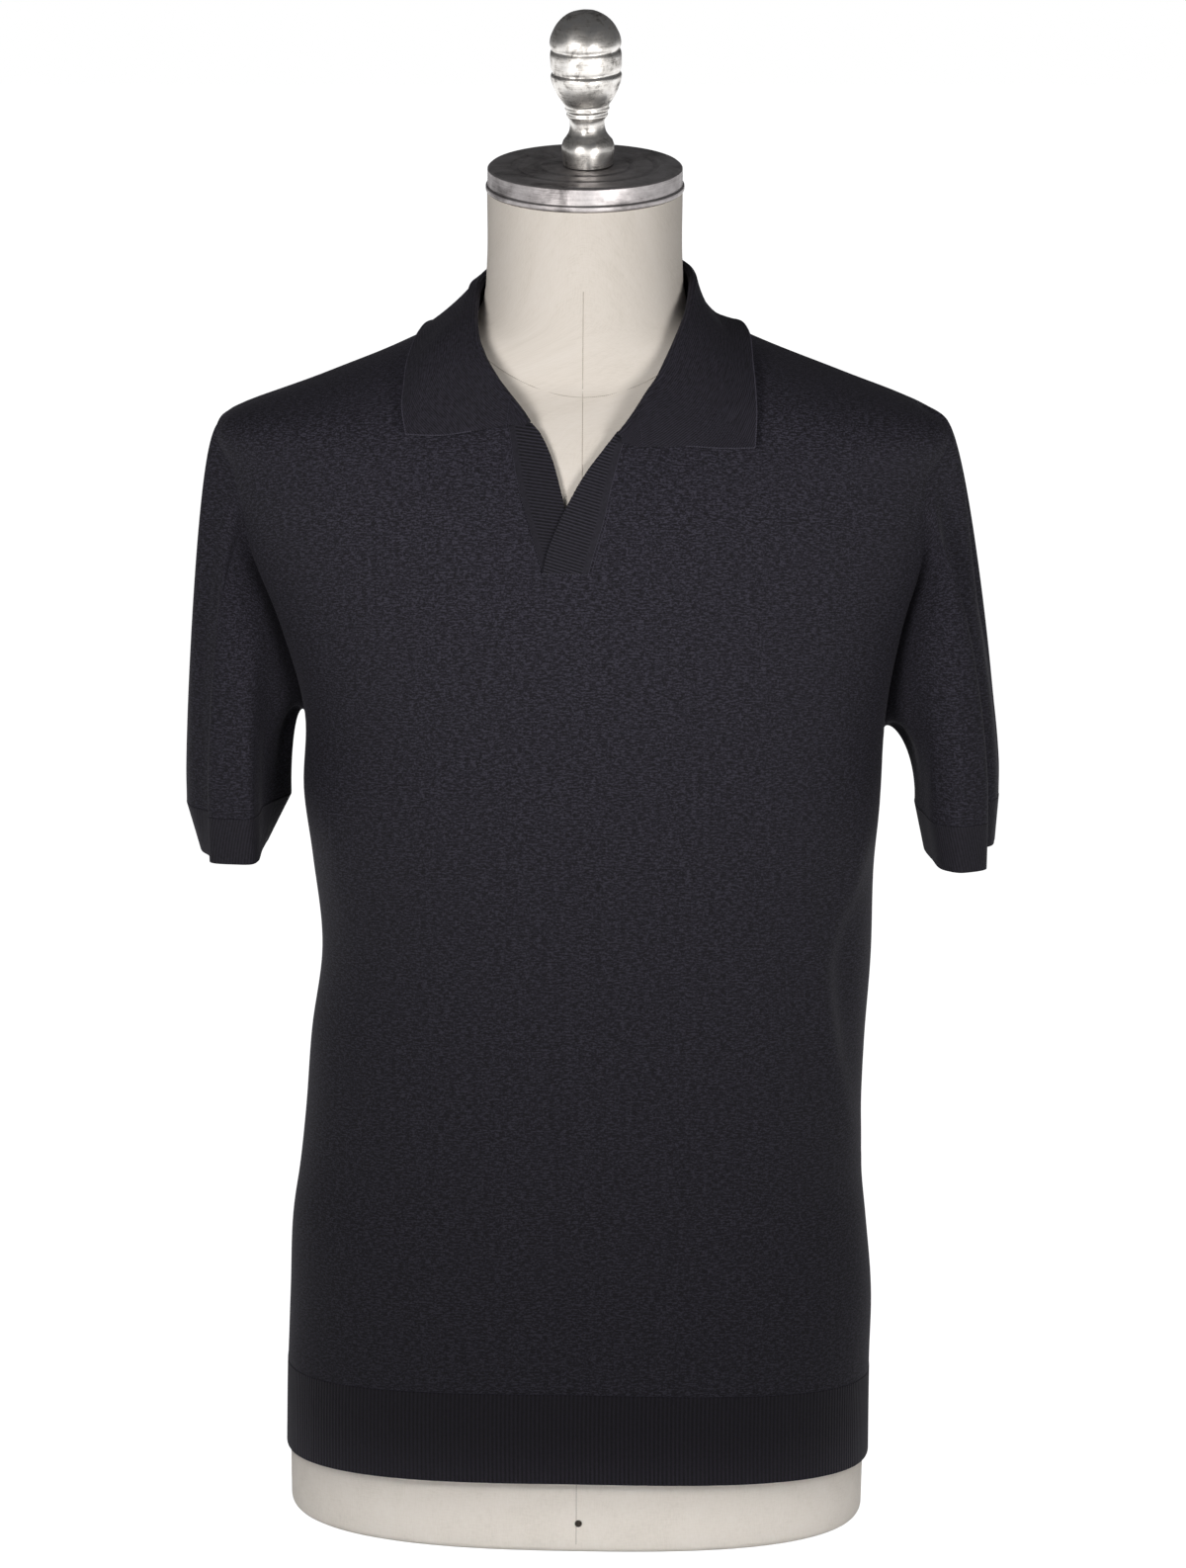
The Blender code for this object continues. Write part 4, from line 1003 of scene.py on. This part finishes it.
@made_once
def jersey_material(name):
    """Merino jersey, fine gauge, melange yarn: matt and near black, with short paler flecks along courses."""
    settings = the_settings()
    material, tree, surface = yarn_surface(name)
    place = node(tree, "ShaderNodeUVMap", uv_map=CLOTH_UV).outputs["UV"]
    # Real courses are about 0.8 mm apart; the flecks are drawn 0.95 mm tall so that they show in the render.
    fleck = streaks(tree, place, (settings.fleck_length, 0.95), detail=1.0, roughness=0.6)
    grain = streaks(tree, place, (1.2, 1.0), detail=1.0)
    shade = weighed_sum(tree, (fleck, 0.55), (grain, 0.45))
    colour_by(tree, surface, shade,
              (0.38, settings.yarn_dark), (0.50, settings.yarn_middle), (0.61, settings.yarn_light))
    raise_by(tree, surface, weighed_sum(tree, (fleck, 1.0), (grain, 1.0)), strength=0.35, relief=0.4)
    return material


# How softly a rib knit's ribs start beside its plain edge, in millimetres, and how high that edge stands.
PLAIN_EDGE_BLUR = 0.6
PLAIN_EDGE_HEIGHT = 0.45


@made_once
def rib_material(name, axis, pitch, dark, light, strength, grain_share=0.4, plain_edge=0.0):
    """Rib knit of the same yarn: matt ribs with valleys between them coloured dark as painted shade, and a
    plain edge of this many mm.
    """
    material, tree, surface = yarn_surface(name)
    place = node(tree, "ShaderNodeUVMap", uv_map=CLOTH_UV).outputs["UV"]
    parts = node(tree, "ShaderNodeSeparateXYZ", {"Vector": place}).outputs
    rib = ribs(tree, parts[axis], pitch)
    if plain_edge:
        ribbed = node(tree, "ShaderNodeMapRange", {
            "Value": parts["X"],
            "From Min": plain_edge - PLAIN_EDGE_BLUR, "From Max": plain_edge + PLAIN_EDGE_BLUR,
        }).outputs["Result"]
        rib = weighed_sum(tree, (rib, ribbed), (ribbed, -PLAIN_EDGE_HEIGHT), base=PLAIN_EDGE_HEIGHT)
    grain = streaks(tree, place, (2.2, 1.6))
    rib_share = 1 - grain_share
    contrast = 0.35 * rib_share + 0.12
    shade = weighed_sum(tree, (rib, rib_share), (grain, grain_share))
    # The ramp colours the ribs pale and the valleys between them dark: painted shade in the valleys, over their
    # relief.
    colour_by(tree, surface, shade, (0.5 - contrast, dark), (0.5 + contrast, light))
    raise_by(tree, surface, weighed_sum(tree, (rib, 1.0), (grain, 0.5)), strength, relief=0.6)
    return material


@made_once
def yarn_material(name, dark, light):
    """Linking yarn: the shirt's own worsted yarn, plied and matt, its tone varying at random in small patches
    between the two colours.
    """
    material, tree, surface = yarn_surface(name)
    place = node(tree, "ShaderNodeTexCoord").outputs["Object"]
    tone = node(tree, "ShaderNodeTexNoise", {"Vector": place, "Scale": 900.0, "Detail": 1.0}).outputs["Fac"]
    colour_by(tree, surface, tone, (0.3, dark), (0.75, light))
    return material


@made_once
def canvas_material(name):
    """Cotton canvas drawn tight and sized: off-white and matt, plain woven, with faint handling marks."""
    settings = the_settings()
    material, tree, surface = new_material(name, 0.82, sockets={"Specular IOR Level": 0.3})
    place = node(tree, "ShaderNodeUVMap", uv_map=CLOTH_UV).outputs["UV"]
    # Threads are about 0.5 mm apart; they are drawn 0.9 mm wide and 5 mm long so that they show in the render.
    warp = streaks(tree, place, (0.9, 5.0))
    weft = streaks(tree, place, (5.0, 0.9))
    marks = streaks(tree, place, (26.0, 34.0), detail=4.0, roughness=0.62)
    weave = weighed_sum(tree, (warp, 0.5), (weft, 0.5))
    colour_by(tree, surface, weighed_sum(tree, (weave, 0.6), (marks, 0.4)),
              (0.25, settings.canvas_mark), (0.48, settings.canvas), (0.8, settings.canvas_light))
    raise_by(tree, surface, weave, strength=0.25, relief=0.3)
    return material


@made_once
def cast_metal_material(name, dark, middle, light, patches, roughness):
    """Cast metal, turned and long handled: bright where rubbed, stained dark in patches this many mm wide."""
    material, tree, surface = new_material(name, roughness, metallic=1.0)
    place = node(tree, "ShaderNodeTexCoord").outputs["Object"]
    stain = node(tree, "ShaderNodeTexNoise", {
        "Vector": place, "Scale": 1 / (patches * MM), "Detail": 6.0, "Roughness": 0.68, "Distortion": 0.4,
    }).outputs["Fac"]
    turned_marks = node(tree, "ShaderNodeMapping", {"Vector": place, "Scale": (60.0, 60.0, 1400.0)})
    brushed = node(tree, "ShaderNodeTexNoise", {
        "Vector": turned_marks.outputs["Vector"], "Scale": 1.0, "Detail": 3.0, "Roughness": 0.6,
    }).outputs["Fac"]
    shade = weighed_sum(tree, (stain, 0.75), (brushed, 0.25))
    colour_by(tree, surface, shade, (0.34, dark), (0.5, middle), (0.64, light))
    # Stained metal is rougher than rubbed metal.
    rough = node(tree, "ShaderNodeMapRange", {
        "Value": stain, "From Min": 0.3, "From Max": 0.7,
        "To Min": roughness + 0.18, "To Max": roughness - 0.08,
    })
    tree.links.new(rough.outputs["Result"], surface.inputs["Roughness"])
    raise_by(tree, surface, shade, strength=0.3, relief=0.4)
    return material


# ---------------------------------------------------------------- what a user may change

def size_in_mm(name, description, default, least, most):
    return bpy.props.FloatProperty(
        name=name, description=f"{description}, in millimetres", default=default, min=least, max=most)


def hex_colour(name, description, default):
    return bpy.props.StringProperty(
        name=name, description=f"{description}, as an sRGB hex value", default=default)


class PoloShirtSettings(bpy.types.PropertyGroup):
    """Sizes and colours of the shirt and its form."""

    cloth_wall: size_in_mm("Jersey thickness", "Thickness of the body's and sleeves' jersey", 1.3, 0.6, 3.0)
    rib_wall: size_in_mm("Rib thickness", "Thickness of the ribbed hem and cuffs", 1.8, 0.8, 4.0)
    collar_wall: size_in_mm("Collar thickness", "Thickness of the knitted collar", 1.9, 0.8, 4.0)
    hem_rib_pitch: size_in_mm("Hem rib pitch", "Distance from rib to rib at the hem", 2.6, 1.0, 6.0)
    cuff_rib_pitch: size_in_mm("Cuff rib pitch", "Distance from rib to rib at the cuffs", 1.8, 1.0, 6.0)
    band_rib_pitch: size_in_mm("Band rib pitch", "Distance from rib to rib on the bands", 1.9, 1.0, 6.0)
    fleck_length: size_in_mm("Fleck length", "Length of the paler flecks in the jersey", 3.6, 1.0, 20.0)
    cloth_sheen: bpy.props.FloatProperty(
        name="Fuzz", description="How much the yarn's fuzz catches light at the cloth's turned edges",
        default=0.06, min=0.0, max=1.0, subtype="FACTOR")
    yarn_dark: hex_colour("Darkest yarn", "Colour of the darkest fibres", "#121016")
    yarn_middle: hex_colour("Main yarn", "Colour of most of the yarn", "#1f1d26")
    yarn_light: hex_colour("Palest yarn", "Colour of the palest flecks", "#373540")
    canvas: hex_colour("Canvas", "Main colour of the form's canvas", "#e9e1d7")
    canvas_light: hex_colour("Clean canvas", "Colour of the cleanest canvas", "#f0e9e1")
    canvas_mark: hex_colour("Marked canvas", "Colour of handling marks", "#ddd5ca")


def add_to_shirt(item, solid=None):
    """Puts a piece on the model: it rides with it and may stand for a solid."""
    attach(item, "root")
    if solid:
        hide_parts(solid)


def add_sewn(name, solid, grid, wall, material, slot, rim, rests_on, ring=False, left_out=None, **cloth):
    """Adds a sewn piece of cloth with soft rims, which stands for this solid."""
    item = add_cloth(name, grid, wall, material, ring, left_out, **cloth)
    declare_sheet(grid, ring, left_out)
    soft_rim(item, rim)
    add_to_shirt(item, solid)


def add_jersey(name, solid, grid, rests_on, **cloth):
    material = jersey_material("merino_jersey_charcoal_melange")
    add_sewn(name, solid, grid, the_settings().cloth_wall, material, "fine_knit", 0.4, rests_on, **cloth)


# ---------------------------------------------------------------- pieces

class PoloFront(bpy.types.Operator):
    """Make the front panel, cut on the fold, with its open placket slit"""

    bl_idname = "polo_shirt.front"
    bl_label = "Front Panel"

    def execute(self, context):
        heights, angles, left_out = front_spots()
        add_jersey("front_jersey", "front", body_cloth(heights, angles), ["form_torso"], left_out=left_out)
        return {"FINISHED"}


class PoloBack(bpy.types.Operator):
    """Make the back panel, cut on the fold"""

    bl_idname = "polo_shirt.back"
    bl_label = "Back Panel"

    def execute(self, context):
        add_jersey("back_jersey", "back", body_cloth(*back_spots()), ["form_torso"])
        return {"FINISHED"}


SLEEVE_AROUND, SLEEVE_DOWN, CUFF_DOWN = 220, 110, 14
# The sleeve's rows lie closer together towards the armhole, and its cloth is even near both of its ends.
SLEEVE_ROWS_CLOSE_UP = 1.35
SLEEVE_CALM_TOP, SLEEVE_CALM_FOOT = 0.12, 0.08
SLEEVE_MM_PER_RADIAN = 60.0 / math.pi * 1.2


class PoloSleeves(bpy.types.Operator):
    """Make both set-in short sleeves, hanging empty with their folds"""

    bl_idname = "polo_shirt.sleeves"
    bl_label = "Sleeves"

    def execute(self, context):
        around = turns_of(SLEEVE_AROUND)[None, :]
        down = (np.linspace(0, 1, SLEEVE_DOWN + 1) ** SLEEVE_ROWS_CLOSE_UP)[:, None]
        calm = ease(down / SLEEVE_CALM_TOP) * ease((1 - down) / SLEEVE_CALM_FOOT)
        for arm in ARMHOLES:
            grid = sleeve_point(arm, around, down)
            normals = tube_normals(grid)
            wave = hand(np.broadcast_to(around, grid.shape[:2]) * SLEEVE_MM_PER_RADIAN, grid[..., 2])
            grid = grid + normals * (wave * calm)[..., None]
            add_jersey(f"sleeve_{arm}_jersey", f"sleeve_{arm}", grid, ["front_jersey", "back_jersey"],
                       ring=True, uv=cloth_uv(grid[::-1], ring=True)[::-1], normals=normals)
        return {"FINISHED"}


class PoloCuffs(bpy.types.Operator):
    """Make both ribbed cuff bands"""

    bl_idname = "polo_shirt.cuffs"
    bl_label = "Cuffs"

    def execute(self, context):
        settings = the_settings()
        rib = rib_material("merino_rib_fine", "X", settings.cuff_rib_pitch, "#17151b", "#2c2a33", 0.4, 0.6)
        down, around = np.meshgrid(np.linspace(0, 1, CUFF_DOWN + 1), turns_of(SLEEVE_AROUND), indexing="ij")
        for arm in ARMHOLES:
            grid = cuff_point(arm, around, down)
            add_sewn(f"cuff_{arm}_rib", f"cuff_{arm}", grid, settings.rib_wall, rib, "rib_knit", 0.5,
                     [f"sleeve_{arm}_jersey"], ring=True, normals=tube_normals(grid))
        return {"FINISHED"}


class PoloHem(bpy.types.Operator):
    """Make the ribbed hem band"""

    bl_idname = "polo_shirt.hem"
    bl_label = "Hem Rib"

    def execute(self, context):
        settings = the_settings()
        rib = rib_material("merino_rib_lengthwise", "X", settings.hem_rib_pitch, "#0c0a10", "#23202a", 0.9)
        angle = turns_of(360)[None, :]
        share = np.linspace(0, 1, 25)[:, None]
        height = hem_edge(angle) + share * (rib_top(angle) - hem_edge(angle))
        grid, normals = section_point(BODY, height, angle), section_normal(BODY, height, angle)
        add_sewn("hem_rib_band", "hem_rib", grid, settings.rib_wall, rib, "rib_knit", 0.5, ["form_torso"],
                 ring=True, normals=normals)
        return {"FINISHED"}


BAND_WALL = 1.5
BAND_PLAIN_EDGE = 4.2


class PoloPlacket(bpy.types.Operator):
    """Make the two ribbed bands of the front opening"""

    bl_idname = "polo_shirt.placket"
    bl_label = "Placket Bands"

    def execute(self, context):
        pitch = the_settings().band_rib_pitch
        # Both bands are of one yarn. The band underneath is coloured a little darker, as painted shade from the
        # band on top, and the band on top a little paler, as a lit copy of the same rib.
        for name, table, level, dark, light in (
            ("under", UNDER_BAND, under_level, "#09080b", "#302e38"),
            ("over", OVER_BAND, over_level, "#0b0a0e", "#36343e"),
        ):
            rib = rib_material(f"merino_rib_crosswise_{name}", "Y", pitch, dark, light, 1.0,
                               plain_edge=BAND_PLAIN_EDGE)
            grid, normals = band_grid(table, level, 70, 24)
            from_seam = np.linalg.norm(grid - grid[:, :1], axis=2)
            tilt = BAND_RIB_TILTS[name]
            along = grid[..., 2] * math.cos(tilt) + grid[..., 0] * math.sin(tilt)
            add_sewn(f"placket_{name}_band", f"placket_{name}", grid, BAND_WALL, rib, "rib_knit", 0.4,
                     ["front_jersey"], normals=normals, uv=np.stack((from_seam, along), -1))
        return {"FINISHED"}


COLLAR_RIB_PITCH = 1.3


class PoloCollar(bpy.types.Operator):
    """Make the turned-down knitted collar, stand and fall in one"""

    bl_idname = "polo_shirt.collar"
    bl_label = "Collar"

    def execute(self, context):
        rib = rib_material("merino_collar_knit", "Y", COLLAR_RIB_PITCH, "#100e14", "#2e2c36", 0.5, 0.75)
        grid = collar_grid(np.linspace(0, len(COLLAR) - 1, (len(COLLAR) - 1) * 8 + 1))
        add_sewn("collar_knit", "collar", grid, the_settings().collar_wall, rib, "rib_knit", 0.6,
                 ["front_jersey", "back_jersey"], normals=grid_normals(grid), uv=cloth_uv(grid)[..., ::-1])
        return {"FINISHED"}


# How far the dotted row on the front panel is from the band's seam, and the collar rows that the edge's linking
# yarn follows.
STITCHING_INSET = 1.9
SELVEDGE_RUN = (3, 23)


class PoloLinking(bpy.types.Operator):
    """Make the linking stitches along the seams"""

    bl_idname = "polo_shirt.linking"
    bl_label = "Linking Stitches"

    def execute(self, context):
        settings = the_settings()
        yarn = yarn_material("plied_worsted_yarn", settings.yarn_middle, settings.yarn_light)
        # The selvedge yarn is given paler colours than the shirt's yarn: a painted highlight on the real
        # stitches of the collar's free edge and of the placket's seams.
        selvedge_painted_highlight = yarn_material("plied_worsted_selvedge_painted_highlight", settings.yarn_light, "#45434e")
        around = np.linspace(0, 2 * math.pi, 400)
        armholes = [section_point(BODY, *armhole_spot(arm, around)) for arm in ARMHOLES]
        angle = np.linspace(0, 2 * math.pi, 700)
        hem = section_point(BODY, rib_top(angle) + SEAM_GAP / 2, angle)

        seams, rows = [], []
        for table, level in ((UNDER_BAND, under_level), (OVER_BAND, over_level)):
            grid, normals = band_grid(table, level, 60, 12)
            seams.append(grid[:, 0] + normals[:, 0] * 0.2)
            row = grid[:, 0] + unit(grid[:, 0] - grid[:, 1]) * STITCHING_INSET
            rows.append(row[2:-1])
        foot, normals = band_grid(OVER_BAND, over_level, 2, 30)
        seams.append(foot[0] + normals[0] * 0.3 - np.array((0, 0, SEAM_GAP)))
        ends = collar_grid(np.array(COLLAR_TABS_END))[:, len(COLLAR_STAND) + 5:]
        edge = collar_grid(np.linspace(*SELVEDGE_RUN, 220))[:, -1]

        half_collar = settings.collar_wall / 2
        for name, lines, stitch, radius, material, slot, proud in (
            ("armhole_linking", armholes, 2.0, 0.55, yarn, "fine_knit", 0.35),
            ("hem_linking", [hem], 2.0, 0.5, yarn, "rib_knit", 0.3),
            ("placket_linking", seams, 1.7, 0.42, selvedge_painted_highlight, "rib_knit", 0.3),
            ("placket_stitching", rows, 1.6, 0.3, selvedge_painted_highlight, "rib_knit", 0.75),
            ("collar_end_seams", ends, 1.5, 0.4, yarn, "rib_knit", half_collar + 0.1),
            ("collar_selvedge", [edge], 1.5, 0.55, selvedge_painted_highlight, "rib_knit", half_collar - 0.2),
        ):
            add_linking(name, lines, BODY, stitch, radius, material, proud)
        return {"FINISHED"}


# ---------------------------------------------------------------- the form

FORM_SIDES, FORM_BASE_ROWS, FORM_ROWS = 160, 6, 170
# The centre seam's lowest and highest points, the neck seam's reach to each side, and how far across it has
# risen by NECK_SEAM_RISE.
CENTRE_SEAM_RUN = (6.0, 770.0)
NECK_SEAM_REACH = 66
NECK_SEAM_RISES_BY = 43.0


class PoloForm(bpy.types.Operator):
    """Make the canvas-covered torso of the dress form"""

    bl_idname = "polo_shirt.form"
    bl_label = "Dress Form"

    def execute(self, context):
        base = FORM_BASE_ROUNDING * (1 - np.cos(np.linspace(0, math.pi / 2, FORM_BASE_ROWS)))
        heights = np.concatenate((base, np.linspace(FORM_BASE_ROUNDING, NECK_TOP, FORM_ROWS)[1:]))
        grid = section_point(FORM, heights[:, None], turns_of(FORM_SIDES)[None, :])
        edge = np.maximum(0.0, FORM_BASE_ROUNDING - heights) / FORM_BASE_ROUNDING
        inset = FORM_BASE_ROUNDING * (1 - np.sqrt(1 - edge**2))
        flat = grid * (1, 1, 0) - np.array(((FORM[0][1] + FORM[0][2]) / 2, 0, 0))
        grid = grid - unit(flat) * inset[:, None, None]
        lean = np.clip((heights - NECK_TILT_STARTS) / (NECK_TOP - NECK_TILT_STARTS), 0, 1)
        grid[..., 2] += grid[..., 1] * math.tan(NECK_TILT) * lean[:, None]
        uv_grid = cloth_uv(grid, ring=True)
        points = turned(grid).reshape(-1, 3)
        faces, uv = [], []
        top_row = len(heights) - 1
        for row in range(top_row):
            low, high = row * FORM_SIDES, (row + 1) * FORM_SIDES
            low_uv, high_uv = uv_grid[row], uv_grid[row + 1]
            for side in range(FORM_SIDES):
                after = (side + 1) % FORM_SIDES
                faces.append([low + side, high + side, high + after, low + after])
                uv += [low_uv[side], high_uv[side], high_uv[side + 1], low_uv[side + 1]]
        foot = list(range(FORM_SIDES))
        top = [top_row * FORM_SIDES + side for side in reversed(foot)]
        for ring in (foot, top):
            faces.append(ring)
            uv += [points[index][:2] for index in ring]
        item = link_mesh("form_canvas", points, faces, canvas_material("sized_cotton_canvas"), uv=uv)
        add_to_shirt(item, "form_torso")

        heights = np.linspace(*CENTRE_SEAM_RUN, 300)
        across = np.interp(heights, (0, NECK_TOP), FORM_SEAM_ACROSS)
        centre = section_point(FORM, heights, angle_at(FORM, heights, across))
        across = np.linspace(-NECK_SEAM_REACH, NECK_SEAM_REACH, 90)
        heights = NECK_SEAM_LOW + NECK_SEAM_RISE * (across / NECK_SEAM_RISES_BY) ** 2
        neck = section_point(FORM, heights, angle_at(FORM, heights, across))
        thread = new_material("waxed_linen_seam", 0.8, sockets={"Base Color": (*linear("#bdb4a9"), 1.0)})[0]
        add_linking("form_seams", [centre, neck], FORM, 1.2, 0.3, thread)
        return {"FINISHED"}


def stand_on_neck(item, across, lift, lean):
    """Places a turned piece above the form's neck, in the neck's tilt."""
    up = Vector((0, -math.sin(NECK_TILT), math.cos(NECK_TILT)))
    base = Vector((NECK_MIDDLE, 0, NECK_TOP)) + up * (SEAM_GAP + lift)
    item.location = Vector((across, base.y, base.z)) * MM
    item.rotation_euler = (NECK_TILT, lean, 0)


def knob_dents(turns, heights):
    """The shallow dents of the hand-polished knob, in millimetres."""
    broad = 0.28 * np.sin(3 * turns + heights / 7.0) * np.sin(heights / 9.0 + 1.0)
    return broad + 0.14 * np.sin(7 * turns - heights / 4.0)


class PoloNeckMetal(bpy.types.Operator):
    """Make the metal cap on the form's neck and the knob on it"""

    bl_idname = "polo_shirt.neck_metal"
    bl_label = "Cap and Knob"

    def execute(self, context):
        # Aluminium alloys: the cap's is dull and evenly darkened, and the knob's is polished by hands.
        cap_metal = cast_metal_material("cast_alloy_cap", "#6a6666", "#b2adad", "#cfcaca", 30.0, 0.42)
        cap = add_lathe("neck_cap_metal", rounded_outline(CAP_OUTLINE, 0.45), 160, cap_metal)
        stand_on_neck(cap, NECK_MIDDLE, 0.0, 0.0)
        add_to_shirt(cap, "neck_cap")
        knob_metal = cast_metal_material("cast_alloy_knob", "#575350", "#e4e0db", "#faf8f5", 9.0, 0.34)
        outline = [*smooth_outline(KNOB_OUTLINE, 4), *KNOB_FOOT]
        knob = add_lathe("finial_knob_metal", outline, 96, knob_metal, wobble=knob_dents)
        stand_on_neck(knob, KNOB_MIDDLE, CAP_THICKNESS + SEAM_GAP + KNOB_LIFT, KNOB_LEAN)
        add_to_shirt(knob, "finial_knob")
        return {"FINISHED"}


class PoloNail(bpy.types.Operator):
    """Make the small nail head low on the form's front seam"""

    bl_idname = "polo_shirt.nail"
    bl_label = "Nail"

    def execute(self, context):
        iron = cast_metal_material("oxidised_iron_nail", "#1b1816", "#35302c", "#5a524b", 2.0, 0.5)
        angle = angle_at(FORM, NAIL_HEIGHT, NAIL_ACROSS)
        normal = section_normal(FORM, NAIL_HEIGHT, angle)
        spot = turned(section_point(FORM, NAIL_HEIGHT, angle) + normal * SEAM_GAP)
        nail = add_lathe("nail_head", NAIL_OUTLINE, 32, iron)
        nail.location = Vector(spot) * MM
        nail.rotation_euler = Vector(normal).to_track_quat("Z", "Y").to_euler()
        add_to_shirt(nail, "base_nail")
        return {"FINISHED"}


# ---------------------------------------------------------------- studio

# The photograph's camera: its place in millimetres, its tilt down, and how wide it sees.
CAMERA_PLACE = (6.0, -4115.7, 1294.8)
CAMERA_TILT = math.radians(11.5)
CAMERA_FOCAL_SHARE = 6885.0 / 1200.0
SENSOR_WIDTH = 36.0
WORLD_LIGHT = 0.09
FLOOR_HALF, FLOOR_DROP = 9000.0, 0.3

# The softboxes' places and watts. Both are aimed high and shaded at their sides, so that their light fades
# towards the hem.
SOFTBOXES = (("key_softbox", (-450, -850, 820), 2.05), ("fill_softbox", (520, -850, 700), 1.65))
SOFTBOX_AIM, SOFTBOX_SIZE, SOFTBOX_SPREAD = (0, 0, 680), (300, 350), 120
# Low cards that throw light back on the form's base only, as white paper in front of it does: across, watts.
FOOT_CARDS = (("left_foot_card", -560, 0.024), ("foot_card", 0, 0.03), ("right_foot_card", 560, 0.025))
FOOT_CARD_SIZE, FOOT_CARD_SPREAD = (500, 20), 14


def softbox(name, place, aim, size, spread, watts, colour):
    """A rectangular softbox that faces a point; its spread is in degrees."""
    lamp = bpy.data.lights.new(name, "AREA")
    lamp.shape = "RECTANGLE"
    lamp.size, lamp.size_y = (side * MM for side in size)
    lamp.spread = math.radians(spread)
    lamp.energy = watts
    lamp.color = linear(colour)
    item = bpy.data.objects.new(name, lamp)
    item.location = Vector(place) * MM
    item.rotation_euler = (Vector(aim) - Vector(place)).to_track_quat("-Z", "Y").to_euler()
    item.visible_camera = False
    bpy.context.scene.collection.objects.link(item)


class PoloStudio(bpy.types.Operator):
    """Make the camera, the white studio, its floor and its softboxes"""

    bl_idname = "polo_shirt.studio"
    bl_label = "Studio"

    def execute(self, context):
        scene = context.scene
        scene.view_settings.view_transform = "Standard"
        scene.view_settings.look = "None"
        lens = bpy.data.cameras.new("studio_camera")
        lens.sensor_fit = "HORIZONTAL"
        lens.sensor_width = SENSOR_WIDTH
        lens.lens = SENSOR_WIDTH * CAMERA_FOCAL_SHARE
        lens.clip_end = 60.0
        camera = bpy.data.objects.new("studio_camera", lens)
        camera.location = Vector(CAMERA_PLACE) * MM
        camera.rotation_euler = (math.pi / 2 - CAMERA_TILT, 0, 0)
        scene.collection.objects.link(camera)
        scene.camera = camera

        world = bpy.data.worlds.new("white_studio")
        scene.world = world
        world.use_nodes = True
        tree = world.node_tree
        tree.nodes.clear()
        seen = node(tree, "ShaderNodeBackground", {"Color": (1, 1, 1, 1), "Strength": 1.0})
        light = node(tree, "ShaderNodeBackground", {"Color": (*linear("#f4f5f8"), 1), "Strength": WORLD_LIGHT})
        path = node(tree, "ShaderNodeLightPath")
        both = node(tree, "ShaderNodeMixShader", {
            0: path.outputs["Is Camera Ray"], 1: light.outputs["Background"], 2: seen.outputs["Background"],
        })
        node(tree, "ShaderNodeOutputWorld", {"Surface": both.outputs["Shader"]})

        paper, tree, surface = new_material("seamless_white_paper", 0.9, sockets={
            "Emission Color": (1, 1, 1, 1), "Emission Strength": 1.0,
        })
        place = node(tree, "ShaderNodeTexCoord").outputs["Object"]
        fibre = node(tree, "ShaderNodeTexNoise", {"Vector": place, "Scale": 300.0, "Detail": 2.0})
        colour_by(tree, surface, fibre.outputs["Fac"], (0.3, "#f7f7f7"), (0.7, "#ffffff"))
        sides = ((-1, -1), (1, -1), (1, 1), (-1, 1))
        corners = [(x * FLOOR_HALF, y * FLOOR_HALF, -FLOOR_DROP) for x, y in sides]
        floor = link_mesh("studio_floor", corners, [[0, 1, 2, 3]], paper)
        floor.visible_diffuse = False

        for name, place, watts in SOFTBOXES:
            softbox(name, place, SOFTBOX_AIM, SOFTBOX_SIZE, SOFTBOX_SPREAD, watts, "#fffdfb")
        for name, across, watts in FOOT_CARDS:
            place, aim = (across, -600 + abs(across) / 2, 10), (across / 4, 0, 14)
            softbox(name, place, aim, FOOT_CARD_SIZE, FOOT_CARD_SPREAD, watts, "#ffffff")
        return {"FINISHED"}


class PoloShirtPanel(bpy.types.Panel):
    """Lists the pieces of the shirt and its form"""

    bl_idname = "VIEW3D_PT_polo_shirt"
    bl_label = "Polo Shirt"
    bl_space_type = "VIEW_3D"
    bl_region_type = "UI"
    bl_category = "Polo Shirt"

    def draw(self, context):
        column = self.layout.column()
        for name in PoloShirtSettings.__annotations__:
            column.prop(context.scene.polo_shirt, name)
        for piece in PIECES:
            column.operator(piece.bl_idname)


# In the order in which they are made.
PIECES = (
    PoloStudio, PoloFront, PoloBack, PoloSleeves, PoloCuffs, PoloHem, PoloPlacket, PoloCollar, PoloLinking,
    PoloForm, PoloNeckMetal, PoloNail,
)


def register():
    for item in (PoloShirtSettings, *PIECES, PoloShirtPanel):
        bpy.utils.register_class(item)
    bpy.types.Scene.polo_shirt = bpy.props.PointerProperty(type=PoloShirtSettings)


def unregister():
    del bpy.types.Scene.polo_shirt
    for item in (PoloShirtPanel, *reversed(PIECES), PoloShirtSettings):
        bpy.utils.unregister_class(item)


def main():
    register()
    for piece in PIECES:
        getattr(bpy.ops.polo_shirt, piece.bl_idname.split(".")[1])()


if __name__ == "__main__":
    main()
